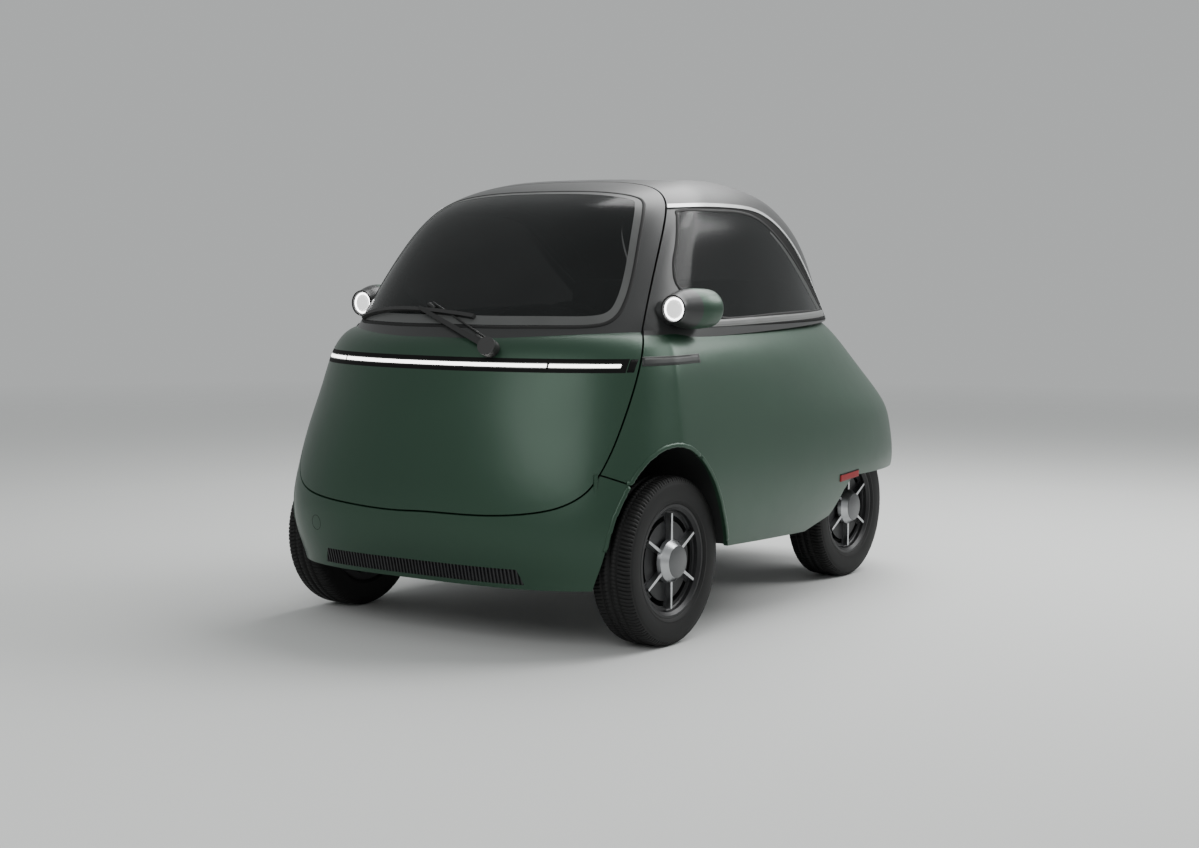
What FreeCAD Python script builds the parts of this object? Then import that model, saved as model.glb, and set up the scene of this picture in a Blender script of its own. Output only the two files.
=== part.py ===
import FreeCAD, Part
import math
import os
import Sketcher
from FreeCAD import Placement, Rotation, Vector

# Front-entry microcar. Millimetres, +Z up, the car faces -Y and its left side is +X.
# The origin is on the ground under the middle of the car.

os.makedirs("parts", exist_ok=True)
doc = FreeCAD.newDocument("microcar")
sheet = doc.addObject("Spreadsheet::Sheet", "sizes")

SIZES = {
    # whole body
    "body_length": 2519,
    "body_width": 1474,
    "belt_height": 1000,
    "roof_height": 1490,
    "skin_wall": 16,
    "door_wall": 55,
    "upper_wall": 34,
    "glass_wall": 6,
    "panel_gap": 6,
    "seat_gap": 0.3,
    "overrun": 60,
    # door pivot and outline
    "door_pivot_x": 601,
    "door_pivot_y": -1105,
    "door_pin_radius": 3,
    "door_knuckle_radius": 7,
    "door_knuckle_low": 536,
    "door_knuckle_high": 556,
    "door_lug_low": 492,
    "hinge_clearance": 1,
    "pin_clearance": 0.05,
    "door_apex_y": -437,
    "door_apex_z": 629,
    "door_lean": 40,
    "door_reach": 1000,
    "apex_stand": 120,
    # hatch outline
    "hatch_apex_y": 250,
    "hatch_apex_z": 560,
    "hatch_lean": 42,
    "hatch_reach": 1100,
    "hatch_pivot_y": 364,
    "hatch_pivot_z": 1434,
    "hatch_hinge_x": 130,
    "hinge_radius": 6,
    "hinge_pin_radius": 2.5,
    "hinge_lug": 24,
    "hinge_leaf": 28,
    # wheels
    "tyre_radius": 266.5,
    "tyre_width": 145,
    "rim_radius": 178,
    "bead_radius": 165,
    "rim_width": 126,
    "front_axle_y": -811,
    "rear_axle_y": 744,
    "front_track": 1256,
    "rear_track": 892,
    "kingpin_x": 606,
    "stub_radius": 15,
    "stub_clearance": 0.05,
    "hub_radius": 62,
    "spoke_length": 150,
    "spoke_width": 11,
    # grille ribs
    "rib_depth": 9,
    "rib_pitch": 13,
    "rib_width": 4.5,
    "rib_reach": 660,
    # light bar across the door
    "bar_height": 876,
    "bar_width": 42,
    "bar_depth": 12,
    "bar_half_length": 606,
    "lens_width": 17,
    "lens_half_length": 592,
    # front bumper and sides
    "bumper_seam_front_z": 556,
    "bumper_seam_rear_z": 492,
    "bumper_seam_rear_y": -960,
    "rear_seam_y": 1010,
    "rear_seam_top": 650,
    # roof
    "sunroof_half_width": 335,
    "sunroof_front_y": -318,
    "sunroof_rear_y": 262,
    "sunroof_corner": 60,
    "sunroof_drop": 13,
    "sunroof_thickness": 14,
    "trim_width": 12,
    "trim_proud": 3,
    # floor and arches
    "floor_height": 304,
    "floor_wall": 20,
    "arm_clearance": 8,
    "jamb_width": 45,
    "jamb_depth": 60,
    "liner_wall": 5,
    "liner_inner_x": 420,
    "pad_height": 4,
    "luggage_half_width": 320,
    "luggage_front_y": 560,
    "luggage_rear_y": 860,
    "jack_x": 480,
    "jack_y": -150,
    "jack_pad_width": 60,
    # seat, battery, motor
    "seat_width": 940,
    "seat_depth": 470,
    "seat_thickness": 130,
    "seat_front_y": -215,
    "backrest_height": 560,
    "backrest_thickness": 120,
    "backrest_lean": 14,
    "battery_length": 405,
    "battery_width": 820,
    "battery_height": 150,
    "motor_radius": 105,
    "motor_length": 270,
    # steering
    "steer_wheel_x": 230,
    "steer_wheel_y": -640,
    "steer_wheel_z": 900,
    "steer_wheel_radius": 172,
    "steer_rim_radius": 14,
    "steer_tilt": 28,
    "column_radius": 24,
    "column_length": 330,
    # lamps on the side pods
    "lamp_x": 644,
    "lamp_y": -736,
    "lamp_z": 1047,
    "lamp_radius": 40,
    "lamp_depth": 30,
    "mirror_radius": 50,
    "mirror_depth": 12,
    "mirror_glass_wall": 5,
    "pod_lip": 10,
    "pod_radius": 63,
    "pod_length": 168,
    "pod_shift": 26,
    "pod_arm_radius": 38,
    "pod_arm_set": 27,
    "pod_arm_drop": 12,
    # rear light bar
    "rear_bar_height": 812,
    "rear_bar_half_length": 400,
    # dashboard bar
    "dash_depth": 105,
    "dash_low": 952,
    "dash_high": 996,
    "dash_half_length": 430,
    "dash_rear_y": -850,
    # wiper
    "wiper_x": 225,
    "wiper_y": -1146,
    "wiper_z": 930,
    "wiper_cap_radius": 29,
    "wiper_cap_length": 42,
    "arm_width": 20,
    "blade_left_x": -452,
    "blade_left_y": -946,
    "blade_left_z": 1002,
    "blade_right_x": 103,
    "blade_right_y": -1054,
    "blade_right_z": 1015,
    "screen_lean": 41,
    "blade_reach": 130,
    "blade_width": 14,
    "blade_depth": 16,
    "blade_clearance": 3,
    # wheel details
    "rim_wall": 7,
    "cap_length": 34,
    "spoke_depth": 20,
    "slot_inner_radius": 126,
    "slot_outer_radius": 143,
    "slot_angle": 48,
    "slot_start": 6,
    # knuckles and suspension
    "knuckle_radius": 20,
    "knuckle_height": 150,
    "steer_arm_length": 110,
    "cross_half_length": 330,
    "cross_height": 70,
    "wishbone_spread": 95,
    "arm_plate": 18,
    "tower_width": 60,
    "damper_radius": 22,
    "beam_radius": 36,
    "beam_half_length": 330,
    "carrier_length": 96,
    "trailing_width": 50,
    "plate_wall": 12,
    "trailing_gap": 6,
    # cushions
    "cushion_round": 30,
    "backrest_set": 126,
}
for line, (alias, value) in enumerate(SIZES.items(), start=1):
    sheet.set(f"A{line}", alias)
    sheet.set(f"B{line}", str(value))
    sheet.setAlias(f"B{line}", alias)
doc.recompute()


def size(alias):
    return float(sheet.get(alias))


half_length = size("body_length") / 2
half_width = size("body_width") / 2
belt = size("belt_height")
roof = size("roof_height")
gap = size("panel_gap")
seat_gap = size("seat_gap")
overrun = size("overrun")

# Body rings. Each row: height share, tilt, front, half-width, rear and widest-point
# shares, then the roundness powers of the front and the rear half.
LOWER_ROW_SHARES = [
    (0.200, 0.000, -0.970, 0.934, 0.873, -0.556, 3.2, 2.5),
    (0.300, 0.000, -0.990, 0.977, 0.953, -0.572, 3.1, 2.9),
    (0.400, 0.000, -1.000, 0.997, 1.000, -0.588, 2.9, 3.4),
    (0.520, 0.000, -0.995, 1.000, 0.992, -0.592, 2.6, 3.5),
    (0.640, 0.000, -0.977, 0.989, 0.969, -0.592, 2.35, 3.4),
    (0.762, 0.004, -0.954, 0.966, 0.909, -0.586, 2.15, 2.9),
    (0.876, 0.009, -0.927, 0.935, 0.818, -0.576, 2.1, 2.6),
    (0.941, 0.014, -0.905, 0.900, 0.752, -0.566, 2.1, 2.5),
    (0.993, 0.018, -0.845, 0.802, 0.664, -0.556, 2.1, 2.5),
]
UPPER_ROW_SHARES = [
    (0.649, 0.024, -0.893, 0.875, 0.726, -0.445, 2.25, 2.5),
    (0.722, 0.016, -0.806, 0.833, 0.663, -0.413, 2.35, 2.6),
    (0.799, 0.012, -0.711, 0.787, 0.589, -0.381, 2.5, 2.8),
    (0.869, 0.007, -0.615, 0.742, 0.496, -0.333, 2.7, 3.0),
    (0.921, 0.004, -0.528, 0.696, 0.401, -0.278, 2.8, 3.0),
    (0.956, 0.000, -0.433, 0.631, 0.302, -0.206, 2.8, 3.0),
    (0.982, 0.000, -0.318, 0.522, 0.191, -0.135, 2.8, 2.8),
    (0.996, 0.000, -0.206, 0.393, 0.079, -0.087, 2.6, 2.6),
    (1.000, 0.000, -0.110, 0.160, -0.010, -0.060, 2.4, 2.4),
]
QUARTER_STEPS = 9


def ring_wire(row, height_size, inset, drop):
    """One closed ring of the body: two half superellipses that meet at the widest point."""
    height, tilt, front, side, rear, widest, front_power, rear_power = row
    front_y = front * half_length + inset
    rear_y = rear * half_length - inset
    side_x = side * half_width - inset
    widest_y = widest * half_length
    points = []
    for step in range(4 * QUARTER_STEPS):
        angle = math.radians(90 / QUARTER_STEPS * step)
        across, along = math.sin(angle), -math.cos(angle)
        power = front_power if along < 0 else rear_power
        reach = (abs(across) ** power + abs(along) ** power) ** (-1 / power)
        depth = widest_y - front_y if along < 0 else rear_y - widest_y
        y = widest_y + along * reach * depth
        points.append(Vector(across * reach * side_x, y, height * height_size + tilt * y - drop))
    curve = Part.BSplineCurve()
    steps = [float(k) for k in range(4 * QUARTER_STEPS + 1)]
    curve.interpolate(Points=points, PeriodicFlag=True, Parameters=steps)
    return Part.Wire([curve.toShape()])


def lower_body(inset, open_ends=False):
    wires = [ring_wire(row, belt, inset, 0) for row in LOWER_ROW_SHARES]
    if open_ends:
        wires[0].translate(Vector(0, 0, -overrun))
        wires[-1].translate(Vector(0, 0, overrun))
    return Part.makeLoft(wires, True, False)


def upper_body(inset, drop=0, open_base=False):
    wires = [ring_wire(row, roof, inset, drop) for row in UPPER_ROW_SHARES]
    if open_base:
        wires[0].translate(Vector(0, -overrun / 2, -overrun))
    return Part.makeLoft(wires, True, False)


def closed_spline(points):
    curve = Part.BSplineCurve()
    curve.interpolate(points, PeriodicFlag=True)
    return Part.Wire([curve.toShape()])


def mirrored(half_points):
    """Half an outline, from its bottom middle to its top middle, made whole."""
    return half_points + [(-a, b) for a, b in reversed(half_points[1:-1])]


def grown(outline, growth, from_apex=False):
    """Moves each point of a closed outline out along its normal, more where a cone's wall slopes."""
    count = len(outline)
    result = []
    for k, (a, b) in enumerate(outline):
        before, after = outline[k - 1], outline[(k + 1) % count]
        run, rise = after[0] - before[0], after[1] - before[1]
        long = math.hypot(run, rise)
        move = growth * math.hypot(1, (a * rise - b * run) / long) if from_apex else growth
        result.append((a + move * rise / long, b - move * run / long))
    return result


def cone_cut(outline_shares, apex, lean, forward, reach, growth_share):
    """A cone from a point in the cabin through an outline given as tangents of angles."""
    tilt = math.radians(lean)
    toward = Vector(0, forward * math.cos(tilt), math.sin(tilt))
    upward = Vector(0, -forward * math.sin(tilt), math.cos(tilt))
    outline = grown(mirrored(outline_shares), growth_share, from_apex=True)
    wires = []
    for distance in (size("apex_stand"), reach):
        centre = apex + toward * distance
        wires.append(closed_spline(
            [centre + Vector(a * distance, 0, 0) + upward * (b * distance) for a, b in outline]))
    return Part.makeLoft(wires, True, True)


DOOR_OUTLINE_SHARES = [
    (0, -1.385), (0.55, -1.379), (0.94, -1.357), (1.17, -1.300), (1.295, -1.190), (1.328, -1.050),
    (1.300, -0.650), (1.225, -0.310), (1.100, 0.060), (0.985, 0.451), (0.900, 0.800), (0.830, 1.020),
    (0.700, 1.200), (0.480, 1.310), (0.220, 1.360), (0, 1.372),
]
SCREEN_OUTLINE_SHARES = [
    (0, -0.185), (0.300, -0.172), (0.600, -0.115), (0.790, -0.045), (0.872, 0.040), (0.886, 0.160),
    (0.856, 0.325), (0.785, 0.569), (0.728, 0.780), (0.695, 0.870), (0.630, 0.915), (0.400, 0.930),
    (0, 0.935),
]
HATCH_OUTLINE_SHARES = [
    (0, -0.92), (0.40, -0.91), (0.60, -0.86), (0.68, -0.70), (0.70, -0.40), (0.66, 0.00),
    (0.60, 0.35), (0.53, 0.66), (0.44, 0.80), (0.25, 0.86), (0, 0.87),
]
REAR_GLASS_SHARES = [
    (0, -0.05), (0.30, -0.04), (0.50, -0.02), (0.575, 0.06), (0.55, 0.25), (0.49, 0.50),
    (0.44, 0.66), (0.36, 0.74), (0.18, 0.77), (0, 0.775),
]
door_apex = Vector(0, size("door_apex_y"), size("door_apex_z"))
hatch_apex = Vector(0, size("hatch_apex_y"), size("hatch_apex_z"))


def door_cone(outline_shares, growth=0):
    return cone_cut(outline_shares, door_apex, size("door_lean"), -1, size("door_reach"),
                    growth / (size("door_reach") / 2))


def hatch_cone(outline_shares, growth=0):
    return cone_cut(outline_shares, hatch_apex, size("hatch_lean"), 1, size("hatch_reach"),
                    growth / (size("hatch_reach") / 2))


def side_prism(points, low_x, high_x, smooth=True):
    """An outline in the side view, pushed across the car."""
    corners = [Vector(low_x, y, z) for y, z in points]
    if smooth:
        wire = closed_spline(corners)
    else:
        wire = Part.makePolygon(corners + corners[:1])
    return Part.Face(wire).extrude(Vector(high_x - low_x, 0, 0))


def box(low, high):
    return Part.makeBox(high[0] - low[0], high[1] - low[1], high[2] - low[2], Vector(*low))


pieces = []


def keep(label, shape):
    """Puts a free-form piece in the document."""
    piece = doc.addObject("Part::Feature", label)
    piece.Label = label
    piece.Shape = shape
    piece.Placement = Placement()
    pieces.append(piece)
    return piece


class Measure:
    """A length that knows its value and the sheet expression that gives it."""

    def __init__(self, text, value):
        self.text, self.value = text, value

    def join(self, other, sign, value):
        text = other.text if isinstance(other, Measure) else str(other)
        return Measure(f"({self.text} {sign} {text})", value)

    def __add__(self, other):
        return self.join(other, "+", self.value + worth(other))

    def __sub__(self, other):
        return self.join(other, "-", self.value - worth(other))

    def __mul__(self, other):
        return self.join(other, "*", self.value * worth(other))

    def __truediv__(self, other):
        return self.join(other, "/", self.value / worth(other))

    def __neg__(self):
        return Measure(f"(0 - {self.text})", -self.value)


def worth(thing):
    return thing.value if isinstance(thing, Measure) else thing


def measure(alias):
    return Measure(f"sizes.{alias}", size(alias))


nothing = Measure("0", 0)


def set_base(thing, x, y, z):
    for axis, place in zip("xyz", (x, y, z)):
        thing.setExpression(f".Placement.Base.{axis}", place.text)


def primitive(kind, name, x, y, z, turn=None, **sizes):
    """A Part primitive whose sizes and place follow the sheet."""
    thing = doc.addObject(kind, name)
    for prop, length in sizes.items():
        thing.setExpression(prop, length.text)
    if turn is not None:
        thing.Placement = Placement(Vector(0, 0, 0), turn)
    set_base(thing, x, y, z)
    return thing


def revolved(name, corners, x, y, z, turn=None):
    """A body turned about its own X axis from corners given as (along, radius)."""
    body = doc.addObject("PartDesign::Body", name)
    sketch = body.newObject("Sketcher::SketchObject", name + "_profile")
    plane = [f for f in body.Origin.OriginFeatures if f.Role == "XY_Plane"][0]
    sketch.AttachmentSupport = [(plane, "")]
    sketch.MapMode = "FlatFace"
    spots = [Vector(along.value, radius.value, 0) for along, radius in corners]
    count = len(corners)
    for k in range(count):
        sketch.addGeometry(Part.LineSegment(spots[k], spots[(k + 1) % count]), False)
    for k in range(count):
        sketch.addConstraint(Sketcher.Constraint("Coincident", k, 2, (k + 1) % count, 1))
    for k, (along, radius) in enumerate(corners):
        for kind, length in (("DistanceX", along), ("DistanceY", radius)):
            number = sketch.addConstraint(Sketcher.Constraint(kind, k, 1, length.value))
            sketch.setExpression(f"Constraints[{number}]", length.text)
    spin = body.newObject("PartDesign::Revolution", name + "_turned")
    spin.Profile = sketch
    spin.ReferenceAxis = (sketch, ["H_Axis"])
    spin.Angle = 360
    if turn is not None:
        body.Placement = Placement(Vector(0, 0, 0), turn)
    set_base(body, x, y, z)
    return body


def fused(name, things):
    whole = doc.addObject("Part::MultiFuse", name)
    whole.Shapes = things
    return whole


def named(label, thing):
    thing.Label = label
    pieces.append(thing)
    return thing


# Body surfaces
lower_outer = lower_body(0)
lower_under_skin = lower_body(size("skin_wall"), True)
lower_lining = lower_body(size("skin_wall") + seat_gap, True)
upper_outer = upper_body(0)
upper_inner = upper_body(size("upper_wall") * 0.8, size("upper_wall") * 0.8, True)
glass_inner = upper_body(size("glass_wall") * 0.8, size("glass_wall") * 0.8, True)
lower_skin = lower_outer.cut(lower_under_skin).cut(upper_outer)
upper_skin = upper_outer.cut(upper_inner)
glass_skin = upper_outer.cut(glass_inner)

# Side-view outlines, in shares of half the length and of the belt or roof height
ARCH_SHARES = [
    (-0.868, 0.10), (-0.871, 0.25), (-0.864, 0.39), (-0.822, 0.505), (-0.752, 0.600), (-0.668, 0.632),
    (-0.582, 0.598), (-0.502, 0.500), (-0.452, 0.385), (-0.412, 0.285), (-0.390, 0.10),
]
UNDER_SHARES = [
    (-0.435, 0.283), (0.048, 0.262), (0.190, 0.300), (0.245, 0.385), (0.300, 0.432),
    (0.700, 0.418), (1.100, 0.400), (1.100, 0.05), (-0.435, 0.05),
]
WINDOW_SHARES = [
    (-0.383, 0.9115), (-0.250, 0.9140), (-0.096, 0.9135), (0.011, 0.8973), (0.117, 0.8517),
    (0.245, 0.7792), (0.360, 0.715), (0.410, 0.690), (0.330, 0.6870), (0.168, 0.6872),
    (-0.036, 0.6852), (-0.329, 0.6812), (-0.420, 0.7100), (-0.4950, 0.7477), (-0.4890, 0.7933),
    (-0.4534, 0.8389), (-0.410, 0.895),
]
ROOF_EDGE_SHARES = [
    (-0.520, 0.9240), (-0.412, 0.9240), (-0.256, 0.9295), (-0.114, 0.9295), (0.000, 0.9235),
    (0.100, 0.9010), (0.188, 0.8620), (0.290, 0.8000), (0.400, 0.7250), (0.520, 0.6500),
    (0.600, 0.6000),
]


def side_points(shares, height):
    return [(y * half_length, z * height) for y, z in shares]


def side_region(growth):
    """Below the roof edge line: the pillars and window frames."""
    edge = grown(side_points(ROOF_EDGE_SHARES, roof), -growth)[1:-1]
    curve = Part.BSplineCurve()
    curve.interpolate([Vector(0, y, z) for y, z in edge])
    first, last = edge[0], edge[-1]
    low = roof / 2
    corners = [(last[0], low), (-half_length, low), (-half_length, first[1]), first]
    path = [Vector(0, *last)] + [Vector(0, y, z) for y, z in corners]
    wire = Part.Wire([curve.toShape()] + [Part.makeLine(a, b) for a, b in zip(path, path[1:])])
    solid = Part.Face(wire).extrude(Vector(half_width + overrun, 0, 0))
    return solid


def right_hand(shape):
    return shape.mirror(Vector(0, 0, 0), Vector(1, 0, 0))


def both_sides(shape):
    return shape.fuse(right_hand(shape))


wide = half_width + overrun
arch_cut = side_prism(side_points(ARCH_SHARES, belt), size("liner_inner_x"), wide)
under_cut = side_prism(side_points(UNDER_SHARES, belt), -wide, wide, smooth=False)
lower_skin = lower_skin.cut([arch_cut, right_hand(arch_cut), under_cut, door_cone(DOOR_OUTLINE_SHARES, gap)])


def bumper_region(growth):
    seam_y = size("bumper_seam_rear_y")
    outline = [
        (-half_length - overrun, size("bumper_seam_front_z") - growth),
        (-half_length * 0.87, size("bumper_seam_front_z") - growth),
        (seam_y, size("bumper_seam_rear_z") - growth),
        (seam_y, -overrun), (-half_length - overrun, -overrun),
    ]
    return side_prism(outline, -wide, wide, smooth=False)


def rear_region(growth):
    seam_y = size("rear_seam_y") + growth
    top = size("rear_seam_top") - growth
    return box((-wide, seam_y, 0), (wide, half_length + overrun, top))


# Grille slot and insert in the bumper
GRILLE_SHARES = [(-0.545, 0.214), (-0.520, 0.262), (0.520, 0.262), (0.545, 0.214)]


def grille_zone():
    front = -half_length - overrun
    corners = [Vector(a * half_width, front, b * belt) for a, b in GRILLE_SHARES]
    wire = Part.makePolygon(corners + corners[:1])
    solid = Part.Face(wire).extrude(Vector(0, half_length / 2, 0))
    return solid


grille_hole = grille_zone()
bumper = lower_skin.common(bumper_region(gap / 2)).cut(grille_hole)
knuckle_low, knuckle_high = size("door_knuckle_low"), size("door_knuckle_high")
knuckle_radius = size("door_knuckle_radius")


def door_barrel(low, high, radius):
    return Part.makeCylinder(radius, high - low, Vector(size("door_pivot_x"), size("door_pivot_y"), low))


door_lug = door_barrel(size("door_lug_low"), knuckle_low - seat_gap, knuckle_radius)
door_pin = door_barrel(size("door_lug_low"), knuckle_high, size("door_pin_radius"))
door_knuckle = door_barrel(knuckle_low, knuckle_high, knuckle_radius)
door_bore = door_barrel(knuckle_low - seat_gap, knuckle_high + seat_gap,
                        size("door_pin_radius") + size("pin_clearance"))
lug_room = door_barrel(size("door_lug_low"), knuckle_low, knuckle_radius + size("hinge_clearance"))
knuckle_room = door_barrel(knuckle_low - seat_gap, knuckle_high + size("hinge_clearance"),
                           knuckle_radius + size("hinge_clearance"))
keep("front_bumper", bumper.cut(knuckle_room).fuse([door_lug, door_pin]))
grille_face = lower_outer.cut(lower_body(size("rib_depth"), True))
grille_plate = lower_outer.cut(lower_under_skin).cut(grille_face).common(grille_zone())
rib_count = int(2 * size("rib_reach") / size("rib_pitch"))
rib_blocks = []
for k in range(rib_count + 1):
    rib_x = (k - rib_count / 2) * size("rib_pitch")
    rib_blocks.append(box((rib_x - size("rib_width") / 2, -half_length - overrun, 0),
                          (rib_x + size("rib_width") / 2, -half_length / 2, belt)))
ribs = grille_face.common(grille_zone()).common(Part.makeCompound(rib_blocks))
keep("bumper_grille", grille_plate.fuse(ribs))

# Sides and rear panel
hatch_hole = hatch_cone(HATCH_OUTLINE_SHARES, gap)
side_skin = lower_skin.cut([bumper_region(-gap / 2), rear_region(-gap / 2), hatch_hole])
left_side = side_skin.common(box((0, -half_length - overrun, 0), (wide, half_length + overrun, roof)))
keep("body_side_left", left_side)
keep("body_side_right", right_hand(left_side))
keep("rear_panel", lower_skin.common(rear_region(gap / 2)).cut(hatch_hole))

# Door
door_solid = door_cone(DOOR_OUTLINE_SHARES)
door_inner = lower_body(size("door_wall"), True)
door_lower = lower_outer.cut(door_inner).cut(upper_outer).common(door_solid)
bar_inner = lower_body(size("bar_depth"), True)
bar_low = size("bar_height") - size("bar_width") / 2
bar_band = box((-size("bar_half_length"), -half_length - overrun, bar_low),
               (size("bar_half_length"), 0, bar_low + size("bar_width")))
bar_groove = lower_outer.cut(bar_inner).common(bar_band)
keep("front_door_panel", door_lower.cut([bar_groove, lug_room]).fuse(door_knuckle).cut(door_bore))
lens_low = size("bar_height") - size("lens_width") / 2
lens_band = box((-size("lens_half_length"), -half_length - overrun, lens_low),
                (size("lens_half_length"), 0, lens_low + size("lens_width")))
bar_solid = bar_groove.common(door_solid)
lens = bar_solid.cut(lower_body(size("bar_depth") / 2, True)).common(lens_band)
keep("light_bar", bar_solid.cut(lens))
keep("light_bar_lens", lens)

screen_hole = door_cone(SCREEN_OUTLINE_SHARES)
keep("door_frame", upper_skin.common(door_solid).cut(screen_hole))
keep("windscreen", glass_skin.common(door_cone(SCREEN_OUTLINE_SHARES, -seat_gap)))

# Upper body
upper_fixed = upper_skin.cut([door_cone(DOOR_OUTLINE_SHARES, gap), hatch_hole])
window = side_prism(side_points(WINDOW_SHARES, roof), half_width / 4, wide)
frame_left = upper_fixed.common(side_region(-size("trim_width") / 2)).cut(window)
keep("side_frame_left", frame_left)
keep("side_frame_right", right_hand(frame_left))
keep("side_windows", both_sides(glass_skin.common(
    side_prism(grown(side_points(WINDOW_SHARES, roof), seat_gap), half_width / 4, wide))))


def sunroof_prism(growth):
    low_x = size("sunroof_half_width") + growth
    low_y = size("sunroof_front_y") - growth
    high_y = size("sunroof_rear_y") + growth
    block = box((-low_x, low_y, belt), (low_x, high_y, roof + overrun))
    uprights = [edge for edge in block.Edges if abs(edge.BoundBox.ZLength) > overrun]
    return block.makeFillet(size("sunroof_corner"), uprights)


trim_line = side_region(size("trim_width") / 2)
roof_panel = upper_fixed.cut([trim_line, right_hand(trim_line), sunroof_prism(0)])
pivot_y, pivot_z = size("hatch_pivot_y"), size("hatch_pivot_z")
lug, leaf, barrel = size("hinge_lug"), size("hinge_leaf"), size("hinge_radius")
across = Vector(1, 0, 0)


def hinge_barrel(start_x, finish_x, radius):
    return Part.makeCylinder(radius, finish_x - start_x, Vector(start_x, pivot_y, pivot_z), across)


roof_lugs = []
hatch_lugs = []
scallops = []
for middle in (-size("hatch_hinge_x"), size("hatch_hinge_x")):
    low_x, high_x = middle - lug / 2, middle + lug / 2
    scallops.append(hinge_barrel(low_x - lug, high_x + lug, barrel + gap / 2))
    roof_arm = box((low_x, pivot_y - leaf, pivot_z - barrel), (high_x, pivot_y, pivot_z))
    roof_foot = box((low_x, pivot_y - leaf, pivot_z - leaf), (high_x, pivot_y - leaf / 2, pivot_z - barrel))
    pin = hinge_barrel(low_x - lug, high_x + lug, size("hinge_pin_radius"))
    roof_lugs += [hinge_barrel(low_x, high_x, barrel), roof_arm, roof_foot, pin]
    outer_lug = lug * 0.75
    for start_x, finish_x in ((low_x - outer_lug, low_x - seat_gap), (high_x + seat_gap, high_x + outer_lug)):
        bore = hinge_barrel(start_x, finish_x, size("hinge_pin_radius") + size("pin_clearance"))
        hatch_arm = box((start_x, pivot_y, pivot_z - barrel), (finish_x, pivot_y + leaf, pivot_z))
        hatch_foot = box((start_x, pivot_y + leaf / 2, pivot_z - leaf),
                         (finish_x, pivot_y + leaf, pivot_z - barrel))
        hatch_lugs.append(hinge_barrel(start_x, finish_x, barrel).fuse([hatch_arm, hatch_foot]).cut(bore))
keep("roof_panel", roof_panel.cut(scallops).fuse(roof_lugs))
cover = upper_outer.copy()
cover.translate(Vector(0, 0, -size("sunroof_drop")))
cover_under = cover.copy()
cover_under.translate(Vector(0, 0, -size("sunroof_thickness")))
keep("sunroof_cover", cover.cut(cover_under).common(sunroof_prism(-seat_gap)))

# Hatch
hatch_solid = hatch_cone(HATCH_OUTLINE_SHARES)
rear_glass = hatch_cone(REAR_GLASS_SHARES)
lower_door_wall = lower_outer.cut(lower_body(size("upper_wall"), True)).cut([upper_outer, under_cut])
rear_bar_band = box((-size("rear_bar_half_length"), 0, size("rear_bar_height") - size("bar_width") / 2),
                    (size("rear_bar_half_length"), half_length + overrun,
                     size("rear_bar_height") + size("bar_width") / 2))
rear_bar = lower_outer.cut(bar_inner).common(rear_bar_band).common(hatch_solid)
keep("rear_light_bar", rear_bar)
keep("hatch_panel", lower_door_wall.common(hatch_solid).cut(rear_bar))
keep("hatch_frame", upper_skin.common(hatch_solid).cut([rear_glass] + scallops).fuse(hatch_lugs))
keep("hatch_glass", glass_skin.common(hatch_cone(REAR_GLASS_SHARES, -seat_gap)))

# Bright trim in the seam between the roof and the side frames
trim_shell = upper_body(-size("trim_proud"), -size("trim_proud")).cut(
    upper_body(size("glass_wall"), size("glass_wall")))
trim_low = side_region(seat_gap - size("trim_width") / 2)
trim_high = side_region(size("trim_width") / 2 - seat_gap)
trim_left = trim_shell.common(trim_high.cut(trim_low)).cut(
    [door_cone(DOOR_OUTLINE_SHARES, gap), hatch_hole, lower_outer])
keep("roof_trim", both_sides(trim_left))

# Floor, wheel boxes, door ring, bulkhead and boot floor in one pressing
LINER_SHARES = [
    (-0.885, 0.10), (-0.888, 0.26), (-0.868, 0.42), (-0.815, 0.540), (-0.740, 0.635), (-0.655, 0.665),
    (-0.565, 0.635), (-0.480, 0.545), (-0.430, 0.42), (-0.400, 0.300), (-0.385, 0.10),
]


def liner(growth):
    outline = grown(side_points(LINER_SHARES, belt), -growth)
    return side_prism(outline, size("liner_inner_x") - growth, wide)


floor_top = size("floor_height")
floor_low = floor_top - size("floor_wall")
liner_hole = liner(0)
liner_box = liner(size("liner_wall")).common(box((0, -half_length, floor_low), (wide, 0, belt)))
FLOOR_SHARES = [
    (-1.000, 0.284), (0.165, 0.284), (0.215, 0.345), (0.262, 0.420), (0.292, 0.448), (0.345, 0.448),
    (0.345, 0.612), (1.000, 0.612),
]


def offset_path(points, offset):
    """An open line of points moved sideways, with mitred corners."""
    moved = []
    for k, (a, b) in enumerate(points):
        before, after = points[max(k - 1, 0)], points[min(k + 1, len(points) - 1)]
        normals = []
        for start, finish in ((before, (a, b)), ((a, b), after)):
            run, rise = finish[0] - start[0], finish[1] - start[1]
            long = math.hypot(run, rise)
            if long > 0:
                normals.append((-rise / long, run / long))
        first, last = normals[0], normals[-1]
        lean = 1 + first[0] * last[0] + first[1] * last[1]
        moved.append((a + offset * (first[0] + last[0]) / lean, b + offset * (first[1] + last[1]) / lean))
    return moved


floor_under = side_points(FLOOR_SHARES, belt)
floor_over = offset_path(floor_under, size("floor_wall"))
floor_sheet = side_prism(floor_under + floor_over[::-1], -wide, wide, smooth=False)
arm_room = size("wishbone_spread") + size("arm_clearance")
arm_top = (size("tyre_radius") + size("knuckle_height") / 2 + seat_gap + size("arm_plate")
           + size("arm_clearance"))
arm_inner_x = size("cross_half_length") - size("tower_width") - size("arm_clearance")


def arm_housing(growth):
    """The raised box over one front suspension tower."""
    return box((arm_inner_x - growth, size("front_axle_y") - arm_room - growth, floor_low - overrun),
               (size("liner_inner_x") + size("liner_wall"), size("front_axle_y") + arm_room + growth,
                arm_top + growth))


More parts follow.
